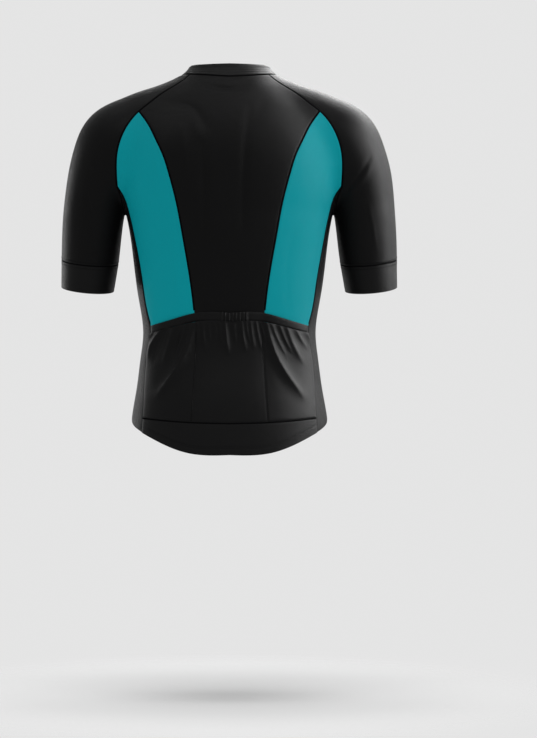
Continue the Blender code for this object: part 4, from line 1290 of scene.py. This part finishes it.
def cuff_seam():
    """Points of the left cuff's seam."""
    place = arm_place(UNDERARM_RING)
    point = draw_seams()["armhole_back"][-1]
    ends = [(arm_bearing(place, point, side)[0], 0.0) for side in (1, -1)]
    return arm_ring(arm_place(CUFF_SEAM_RING), *ends)


@functools.cache
def sleeve_grids():
    """The left sleeve's grid of points from the collar to the cuff seam, and its cuff's grid."""
    seams = draw_seams()
    back = joined(seams["raglan_upper"], seams["raglan_lower"], seams["armhole_back"])
    front = joined(seams["raglan_front"], seams["armhole_front"])
    angles = np.linspace(RAGLAN_BACK_ANGLE, RAGLAN_FRONT_ANGLE, SLEEVE_COLUMNS + 1)
    rows = [neck_seam(angles)]
    underarm, cuff_start, cuff_end = map(arm_place, (UNDERARM_RING, CUFF_SEAM_RING, CUFF_END_RING))
    places = np.linspace(ARM_DISTANCES[1], underarm, len(back))
    for place, at_back, at_front in list(zip(places, back, front))[1:]:
        seam_ends = arm_bearing(place, at_back, 1), arm_bearing(place, at_front, -1)
        row = arm_ring(place, *seam_ends)
        row[0], row[-1] = at_back, at_front
        rows.append(row)
    for share in np.linspace(0, 1, FOREARM_ROWS + 1)[1:]:
        ends = [(turn, lead * (1 - share)) for turn, lead in seam_ends]
        rows.append(arm_ring(underarm + (cuff_start - underarm) * share, *ends))
    ends = [(turn, 0.0) for turn, _ in seam_ends]
    places = np.linspace(cuff_start, cuff_end, CUFF_ROWS + 1)
    return np.array(rows), np.array([arm_ring(place, *ends) for place in places])


class JERSEY_OT_sleeves(bpy.types.Operator):
    """Lay the raglan sleeves and the bands at their ends"""

    bl_idname = "jersey.sleeves"
    bl_label = "Sleeves and Cuffs"

    def execute(self, context):
        sleeve, cuff = sleeve_grids()
        sleeve = seamed(sleeve)
        down = distances_along(sleeve)
        ridge = bead(down[-1:] - down, *SLEEVE_RIDGE)
        lay_pair("sleeve_cloth", "sleeve", sleeve, "black_knit", ["collar_band"], ridge, bottom=1.8)
        cuff = seamed(cuff, ("top", "left", "right"))
        down = distances_along(cuff)
        depth, *groove = CUFF_END_GROOVE
        ridge = sum(bead(down, *shape) for shape in CUFF_BEADS)
        ridge += bead(down, down.max() - depth, *groove)
        lay_pair(
            "cuff_band", "cuff", cuff, "black_band", ["sleeve_cloth_*"], ridge, top=0.4, bottom=0.4
        )
        return {"FINISHED"}


def collar_face():
    """The collar's outer face, from its top down, open at the zip."""
    steps = COLLAR_COLUMNS_ON_SLEEVE + 1
    over_sleeve = np.linspace(RAGLAN_BACK_ANGLE, RAGLAN_FRONT_ANGLE, steps)
    over_front = np.linspace(RAGLAN_FRONT_ANGLE, SEAM_END, FRONT_COLUMNS + 1)
    side = np.concatenate([over_sleeve[1:], over_front[1:]])
    back = np.linspace(-RAGLAN_BACK_ANGLE, RAGLAN_BACK_ANGLE, BACK_COLUMNS + 1)
    angles = np.concatenate([-side[::-1], back, side])
    outer = np.array([collar_point(angles, rise) for rise in np.linspace(1, 0, COLLAR_ROWS + 1)])
    outer[-1] += unit(outer[-2] - outer[-1]) * SEAM_GAP
    return seamed(outer, ("left", "right"))


class JERSEY_OT_collar(bpy.types.Operator):
    """Lay the standing collar, with its bound top and its sewn channels"""

    bl_idname = "jersey.collar"
    bl_label = "Collar"

    def execute(self, context):
        face = collar_face()
        down = distances_along(face)
        rise = bead(down, *COLLAR_RIDGE)
        rise += sum(bead(down / down[-1:] * COLLAR_SPAN, *groove) for groove in COLLAR_GROOVES)
        lay_cloth(
            "collar_band", "collar", face, rise, "black_band",
            ["back_middle", "front_cloth_left", "front_cloth_right"],
            facing=grid_normals(face), depth=COLLAR_WALL, bottom=1.5, top=0.8,
        )
        return {"FINISHED"}


def pocket_slack(out, height):
    """How far the pockets stand off the back, most at their mouths and between the dividers."""
    from_divider = np.abs(np.abs(out) - DIVIDER_LINE(height))
    nearest = np.minimum(from_divider, SIDE_LINE(height) - np.abs(out))
    middle = 1 - np.exp(-((nearest / POCKET_EASE_REACH) ** 2))
    foot, mouth = BAND_TOP[0][1], POCKET_TOP[0][1]
    return POCKET_EASE * middle * np.clip((height - foot) / (mouth - foot), 0, 1)


def pocket_rise(out, height):
    """How far the pockets' creases push their cloth out at places seen from behind."""
    places = np.stack([out.ravel(), height.ravel()], axis=1)
    return fold_strength() * crease_rise(places, crease_paths(POCKET_CREASES)).reshape(out.shape)


def over_back(out, height, edges):
    """A grid on the form at places seen from behind, and its height over the back panels."""
    grid = lift(out, height, 1).reshape(*out.shape, 3)
    return stand_back(grid, edges), POCKET_GAP + pocket_slack(out, height) + WALL


class JERSEY_OT_pockets(bpy.types.Operator):
    """Lay the three back pockets and the gathered elastic along their mouths"""

    bl_idname = "jersey.pockets"
    bl_label = "Pockets"

    def execute(self, context):
        sides = ((1, SIDE_LINE), (1, DIVIDER_LINE), (-1, DIVIDER_LINE), (-1, SIDE_LINE))
        columns = (SIDE_POCKET_COLUMNS, MIDDLE_POCKET_COLUMNS, SIDE_POCKET_COLUMNS)
        for span in zip(("left", "centre", "right"), columns, sides, sides[1:]):
            self.lay_pocket(*span)
        self.lay_elastic()
        return {"FINISHED"}

    def lay_pocket(self, name, columns, start, end):
        across, down = edge_shares(columns)[None], edge_shares(POCKET_ROWS)[:, None]
        height = POCKET_TOP[1][1] * (1 - down) + BAND_TOP[0][1] * down + 0 * across
        for _ in range(4):
            out = start[0] * start[1](height) * (1 - across) + end[0] * end[1](height) * across
            height = POCKET_LINE(out) * (1 - down) + BAND_LINE(out) * down
        grid, stand = over_back(out, height, ALL_EDGES)
        lay_cloth(
            f"pocket_cloth_{name}", f"pocket_{name}", grid,
            stand + np.maximum(pocket_rise(out, height), -POCKET_EASE / 2), "pocket_knit",
            ["pocket_elastic_band", "hem_cloth", "back_middle"], "black_knit",
            bottom=2.2, top=0.6, left=0.7, right=0.7,
        )

    def lay_elastic(self):
        side = SIDE_LINE(POCKET_TOP[-1][1])
        low, high = GATHER_SPAN
        gathers = round((high - low) / GATHER_PITCH)
        left = np.linspace(side, high, round((side - high) / ELASTIC_STEP) + 1)
        middle = np.linspace(high, low, gathers * ELASTIC_STEPS_PER_GATHER + 1)
        right = np.linspace(low, -side, round((side + low) / ELASTIC_STEP) + 1)
        down = edge_shares(ELASTIC_ROWS)[:, None]
        out = np.concatenate([left[:-1], middle, right[1:]])[None] + 0 * down
        height = level_curve(ELASTIC_TOP)(out) * (1 - down) + POCKET_LINE(out) * down
        turns = math.tau * (out - low) / (high - low) * gathers
        rate, phase, share = GATHER_UNEVENNESS
        fullness = 1 - share + share * np.sin(rate * turns + phase)
        gather = GATHER_RELIEF * fullness * ((1 - np.cos(turns)) / 2) ** 0.8
        gather = np.where((out > low) & (out < high), gather, 0)
        gather *= GATHER_AT_TOP + (1 - GATHER_AT_TOP) * down
        grid, stand = over_back(out, height, ("bottom", "left", "right"))
        lay_cloth(
            "pocket_elastic_band", "pocket_elastic", grid, stand + gather, "black_band",
            ["back_middle", "back_teal_left", "back_teal_right"], held="gathered",
        )


class JERSEY_OT_hem_band(bpy.types.Operator):
    """Lay the band along the lower edge of the back"""

    bl_idname = "jersey.hem_band"
    bl_label = "Hem Band"

    def execute(self, context):
        top, side = draw_seams()["band_top"], draw_seams()["band_side"]
        out = np.linspace(HEM_BACK[-1][0], -HEM_BACK[-1][0], len(top))
        foot = lift(out, HEM_BACK_LINE(out), 1)
        foot[0], foot[-1] = side[-1], mirrored(side[-1])
        grid = seamed(patch(top, foot, side, mirrored(side)), ("top", "left", "right"))
        down = distances_along(grid)
        lay_cloth(
            "hem_cloth", "hem_band", grid, BAND_PROUD + bead(down[-1:] - down, *HEM_GROOVE),
            "black_band", ["pocket_cloth_centre", "back_middle"], top=0.3, bottom=0.3,
        )
        return {"FINISHED"}


@functools.cache
def zip_line():
    """The middle of the zip from the hem to the collar's top: points, and the way out of it."""
    below = lift(0.0, draw_seams()["zip_edge"][::-1, 2], -1)
    facing_below = outward(below)
    seam, top = neck_seam(180.0)[0], neck_top(180.0)[0]
    above = seam + np.linspace(0, 1, COLLAR_ROWS + 1)[1:, None] * (top - seam)
    facing_above = np.tile(np.cross((1.0, 0.0, 0.0), unit(top - seam)), (COLLAR_ROWS, 1))
    facing_below[-1] = unit(facing_below[-1] + facing_above[0])
    points = np.concatenate([below, above])
    return spaced_line(points, np.concatenate([facing_below, facing_above]), ZIP_STEP)


def spaced_line(points, facing, step):
    """A line's points at even distances, and the way out of it there."""
    even = spaced(np.concatenate([points, facing], axis=1), step)
    return even[:, :3], unit(even[:, 3:])


def above_slider(points):
    """How far points of the zip's middle lie above the slider's middle, along the zip."""
    seam, top = neck_seam(180.0)[0], neck_top(180.0)[0]
    return (points - (seam + SLIDER_PLACE * (top - seam))) @ unit(top - seam)


class JERSEY_OT_zip(bpy.types.Operator):
    """Make the zip's tapes and teeth, and finish its slider and pull tab"""

    bl_idname = "jersey.zip"
    bl_label = "Zip"

    def execute(self, context):
        self.make_tapes()
        self.make_teeth()
        for name in ("zip_slider", "zip_pull"):
            part = frame["nodes"][name]
            part.data.materials.clear()
            part.data.materials.append(finish_of("zip_metal"))
        return {"FINISHED"}

    def make_tapes(self):
        points, facing = zip_line()
        inner = np.where(above_slider(points) > 0, ZIP_OPEN_HALF, ZIP_CLOSED_HALF)
        outer = ZIP_HALF_WIDTH - SEAM_GAP / 2
        shells, area = [], 0
        for side in (1, -1):
            share = np.linspace(0, 1, TAPE_COLUMNS + 1)
            across = inner[:, None] * (1 - share) + outer * share
            grid = points[:, None] + side * across[..., None] * np.array((1.0, 0, 0))
            face = grid + facing[:, None] * ZIP_PROUD
            shells.append((face, grid - facing[:, None] * WALL, cloth_places(grid)))
            _, length, face_area = flat_size(face)
            area += face_area
        tapes = add_shells("zip_tapes", shells, "zip_tape")
        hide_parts("zip")

    def make_teeth(self):
        line = spaced_line(*zip_line(), size("tooth_pitch") / 2)
        points, facing = (part[2:-2] for part in line)
        along, _, out = path_frames(points, facing)
        height = above_slider(points)
        low, middle, high = TOOTH_LEVELS
        form = [(reach, span, rise) for rise in (low, middle) for reach, span in TOOTH_OUTLINE]
        reach_share, span_share = TOOTH_FACE
        form += [(reach * reach_share, span * span_share, high) for reach, span in TOOTH_OUTLINE]
        teeth = []
        for i in np.flatnonzero(np.abs(height) >= SLIDER_LENGTH / 2):
            side = 1 if i % 2 else -1
            gape = ZIP_OPEN_HALF if height[i] > 0 else 0.0
            offset = np.array(form) * (-side, 1, 1) + (side * gape, 0, 0)
            teeth.append(points[i] + offset @ np.stack([(1.0, 0.0, 0.0), along[i], out[i]]))
        add_copies("zip_teeth", teeth, ring_sides(3, len(TOOTH_OUTLINE)), "zip_metal")


class JERSEY_OT_sewing(bpy.types.Operator):
    """Sew the covered seams between the panels and the rows of top stitches"""

    bl_idname = "jersey.sewing"
    bl_label = "Sewing"

    def execute(self, context):
        self.tape_seams()
        self.tape_pockets()
        self.cover_seams()
        self.stitch_pockets()
        self.stitch_bands()
        return {"FINISHED"}

    def tape_seams(self):
        """Lay the sewn-down edges under every seam, on the inner side of the cloth."""
        seams = draw_seams()
        names = ("princess", "raglan_lower", "side_back", "band_side", "side_front",
                 "raglan_upper", "raglan_front", "armhole")
        lines = [seams[name] for name in names]
        for start, end, count in (
            (RAGLAN_BACK_ANGLE, RAGLAN_FRONT_ANGLE, 60), (RAGLAN_FRONT_ANGLE, SEAM_END, 40),
        ):
            lines.append(neck_seam(np.linspace(start, end, count)))
        runs = twins(lines + [cuff_seam()], TAPE_STEP)
        neck_back = neck_seam(np.linspace(-RAGLAN_BACK_ANGLE, RAGLAN_BACK_ANGLE, 60))
        runs += [spaced(line, TAPE_STEP) for line in (neck_back, seams["band_top"])]
        paths = [on_cloth(points, TAPE_DEPTH) for points in runs]
        add_ribbons("seam_tapes", paths, TAPE_PROFILE, *TAPE_SIZE)

    def tape_pockets(self):
        """Lay the sewn-down edges of the pockets between them and the back."""
        foot = spaced(draw_seams()["band_top"], TAPE_STEP)
        paths = [on_cloth(foot, POCKET_GAP - 0.1, False)]
        heights = np.linspace(POCKET_TOP[0][1] - 1, BAND_TOP[0][1] + 2, 80)
        for side in (1, -1):
            line = spaced(lift(side * DIVIDER_LINE(heights), heights, 1), TAPE_STEP)
            paths.append(on_cloth(line, POCKET_GAP + 0.1, False))
        add_ribbons("pocket_tapes", paths, TAPE_PROFILE, *POCKET_TAPE_SIZE)

    def cover_seams(self):
        """Cover the seams that show with looped thread."""
        seams = draw_seams()
        princess, side = seams["princess"], seams["side_back"]
        elastic = ELASTIC_TOP[-1][1]
        upper_princess = princess[princess[:, 2] > POCKET_TOP[0][1] + COVER_CLEAR_OF_POCKETS]
        upper_side = side[side[:, 2] > elastic + COVER_CLEAR_OF_ELASTIC]
        lower_side = side[side[:, 2] < elastic - COVER_CLEAR_OF_ELASTIC]
        groups = {
            "teal_seams": (upper_princess, seams["raglan_lower"], upper_side),
            "raglan_seams": (seams["raglan_upper"], seams["raglan_front"], seams["armhole"]),
            "side_seams": (lower_side, seams["side_front"]),
            "collar_seam": (neck_seam(np.linspace(0, SEAM_END, NECK_SAMPLES)),),
            "cuff_seams": (cuff_seam(),),
            "hem_seam": (),
        }
        pitch, height = size("seam_pitch"), -size("seam_roll") * SEAM_SINK
        for name, lines in groups.items():
            paths = [on_cloth(points, height) for points in twins(lines, pitch / 2)]
            if name == "hem_seam":
                over_hem = spaced(seams["band_top"], pitch / 2)
                paths.append(on_cloth(over_hem, BAND_PROUD + height, False))
            width = size("seam_width") * SEAM_SHARES.get(name, 1.0)
            add_ribbons(name, paths, COVER_PROFILE, width, size("seam_rise"), pitch)

    def stitch_pockets(self):
        """Sew the lines between the pockets and along their mouths."""
        heights = np.linspace(POCKET_TOP[0][1] - 3, BAND_TOP[0][1] + 3, 140)
        lines = [
            (side * (DIVIDER_LINE(heights) + aside), heights) for side, aside in DIVIDER_STITCHES
        ]
        out = np.linspace(MOUTH_REACH, -MOUTH_REACH, LINE_SAMPLES)
        lines.append((out, POCKET_LINE(out) + MOUTH_STITCHES))
        paths = []
        for line in lines:
            out, heights = spaced(np.stack(line, axis=1), size("stitch_spacing")).T
            stand = POCKET_GAP + WALL + pocket_slack(out, heights) + pocket_rise(out, heights)
            paths.append(on_cloth(lift(out, heights, 1), stand, False))
        add_stitches("pocket_stitches", paths)

    def stitch_bands(self):
        """Sew the hem band, the cuffs, the sleeves' ends and the edges of the zip."""
        step = size("stitch_spacing")
        out = np.linspace(HEM_REACH, -HEM_REACH, LINE_SAMPLES)
        paths = []
        for above in HEM_STITCHES:
            even = spaced(np.stack([out, HEM_BACK_LINE(out) + above], axis=1), step)
            paths.append(on_cloth(lift(*even.T, 1), BAND_PROUD - 0.2, False))
        sleeve, cuff = sleeve_grids()
        rings = ((sleeve, *SLEEVE_STITCHES, -1), (cuff, *CUFF_STITCHES, 0))
        for grid, height, along, start in rings:
            down = distances_along(grid)
            columns = zip((down - down[start]).T, grid.swapaxes(0, 1))
            row = [[np.interp(along, run, axis) for axis in points.T] for run, points in columns]
            for ring in twins([np.array(row)], step):
                paths.append(on_cloth(settle(ring), height))
        for line in twins([draw_seams()["zip_edge"][4:-2] + ZIP_STITCHES], step):
            paths.append(on_cloth(settle(line), 0.0))
        add_stitches("band_stitches", paths)


def add_area_light(name, place, width, height, power):
    """A soft rectangular light that faces the jersey and that the camera doesn't see."""
    data = bpy.data.lights.new(name, "AREA")
    data.shape = "RECTANGLE"
    data.size, data.size_y = width, height
    data.energy = power
    light = bpy.data.objects.new(name, data)
    light.location = place
    view = Vector(GARMENT_MIDDLE) - Vector(place)
    light.rotation_euler = view.to_track_quat("-Z", "Y").to_euler()
    light.visible_camera = False
    bpy.context.scene.collection.objects.link(light)
    return light


class JERSEY_OT_stage(bpy.types.Operator):
    """Set up the camera, the floor, the space round the jersey and its lights"""

    bl_idname = "jersey.stage"
    bl_label = "Stage"

    def execute(self, context):
        stage = context.scene.jersey_stage
        context.scene.view_settings.view_transform = "Standard"
        self.place_camera(context, stage)
        self.lay_floor(context, stage)
        self.fill_space(context, stage)
        lit = {name: bpy.data.collections.new(name) for name in ("lit_jersey", "lit_floor")}
        for piece in context.scene.objects:
            if piece.type == "MESH":
                lit["lit_floor" if piece.name == "floor" else "lit_jersey"].objects.link(piece)
        for name, shape in SOFT_LIGHTS.items():
            light = add_area_light(name, *shape, getattr(stage, name))
            light.visible_diffuse = name not in GLOSS_LIGHTS
            receivers = lit["lit_floor" if name == "top_light" else "lit_jersey"]
            light.light_linking.receiver_collection = receivers
        return {"FINISHED"}

    def fill_space(self, context, stage):
        """Make the space a pale backdrop to the camera and a dimmer soft light to the cloth."""
        world = bpy.data.worlds.new("studio")
        world.use_nodes = True
        tree = world.node_tree
        colour = (*stage.background, 1)
        backdrop = fill_inputs(tree, tree.nodes["Background"], {"Color": colour}).outputs[0]
        soft = {"Color": colour, "Strength": stage.space_light}
        soft = add_node(tree, "Background", soft).outputs[0]
        seen = add_node(tree, "LightPath", {}).outputs["Is Camera Ray"]
        mix = add_node(tree, "MixShader", {"Fac": seen, 1: soft, 2: backdrop}).outputs[0]
        fill_inputs(tree, tree.nodes["World Output"], {"Surface": mix})
        context.scene.world = world

    def place_camera(self, context, stage):
        data = bpy.data.cameras.new("camera")
        camera = bpy.data.objects.new("camera", data)
        camera.location = (0.0, stage.camera_distance, stage.camera_height)
        view = Vector(PICTURE_MIDDLE) - camera.location
        camera.rotation_euler = view.to_track_quat("-Z", "Y").to_euler()
        data.sensor_width = 36.0
        data.lens = data.sensor_width * view.length / (PICTURE_HEIGHT * METRES_PER_PIXEL)
        data.clip_end = 200.0
        context.scene.collection.objects.link(camera)
        context.scene.camera = camera

    def lay_floor(self, context, stage):
        """Lay a pale round floor that fades into the space round it."""
        mesh = bmesh.new()
        bmesh.ops.create_circle(mesh, cap_ends=True, radius=FLOOR_RADIUS, segments=96)
        data = bpy.data.meshes.new("floor")
        mesh.to_mesh(data)
        mesh.free()
        floor = bpy.data.objects.new("floor", data)
        floor.location = (0.0, 0.0, stage.floor_height)
        context.scene.collection.objects.link(floor)
        material, tree, surface = new_material("floor_paper")
        place = add_node(tree, "TexCoord", {}).outputs["Object"]
        away = add_node(tree, "VectorMath", {0: place}, operation="LENGTH").outputs["Value"]
        start, end = FLOOR_FADE
        span = {"Value": away, "From Min": start, "From Max": end, "To Min": 1.0, "To Max": 0.0}
        fade = add_node(tree, "MapRange", span, interpolation_type="SMOOTHERSTEP")
        fill_inputs(tree, surface, {
            "Base Color": (*stage.floor_colour, 1),
            "Roughness": 1.0,
            "Specular IOR Level": 0.0,
            "Emission Color": (*stage.background, 1),
            "Emission Strength": 0.03,
            "Alpha": fade.outputs["Result"],
        })
        data.materials.append(material)


class JERSEY_PT_panel(bpy.types.Panel):
    """Lists the jersey's pieces, sizes and colours"""

    bl_idname = "JERSEY_PT_panel"
    bl_label = "Cycling Jersey"
    bl_space_type = "VIEW_3D"
    bl_region_type = "UI"
    bl_category = "Jersey"

    def draw(self, context):
        for operator in OPERATORS:
            self.layout.operator(operator.bl_idname)
        for group in ("jersey_sizes", "jersey_colours", "jersey_stage"):
            settings = getattr(context.scene, group)
            for name in settings.bl_rna.properties.keys():
                if name not in ("rna_type", "name"):
                    self.layout.prop(settings, name)


OPERATORS = (
    JERSEY_OT_back_panels,
    JERSEY_OT_side_panels,
    JERSEY_OT_front_panels,
    JERSEY_OT_sleeves,
    JERSEY_OT_collar,
    JERSEY_OT_pockets,
    JERSEY_OT_hem_band,
    JERSEY_OT_zip,
    JERSEY_OT_sewing,
    JERSEY_OT_stage,
)
GROUPS = {
    "jersey_sizes": JerseySizes,
    "jersey_colours": JerseyColours,
    "jersey_stage": JerseyStage,
}


def register():
    """Add the properties, the operators and the panel."""
    for name, group in GROUPS.items():
        bpy.utils.register_class(group)
        setattr(bpy.types.Scene, name, PointerProperty(type=group))
    for kind in (*OPERATORS, JERSEY_PT_panel):
        bpy.utils.register_class(kind)


def unregister():
    """Take away the panel, the operators and the properties."""
    for kind in (JERSEY_PT_panel, *reversed(OPERATORS)):
        bpy.utils.unregister_class(kind)
    for name, group in GROUPS.items():
        delattr(bpy.types.Scene, name)
        bpy.utils.unregister_class(group)


def main():
    """Dress the frame."""
    register()
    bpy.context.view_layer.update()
    for operator in OPERATORS:
        category, name = operator.bl_idname.split(".")
        getattr(getattr(bpy.ops, category), name)()


if __name__ == "__main__":
    main()
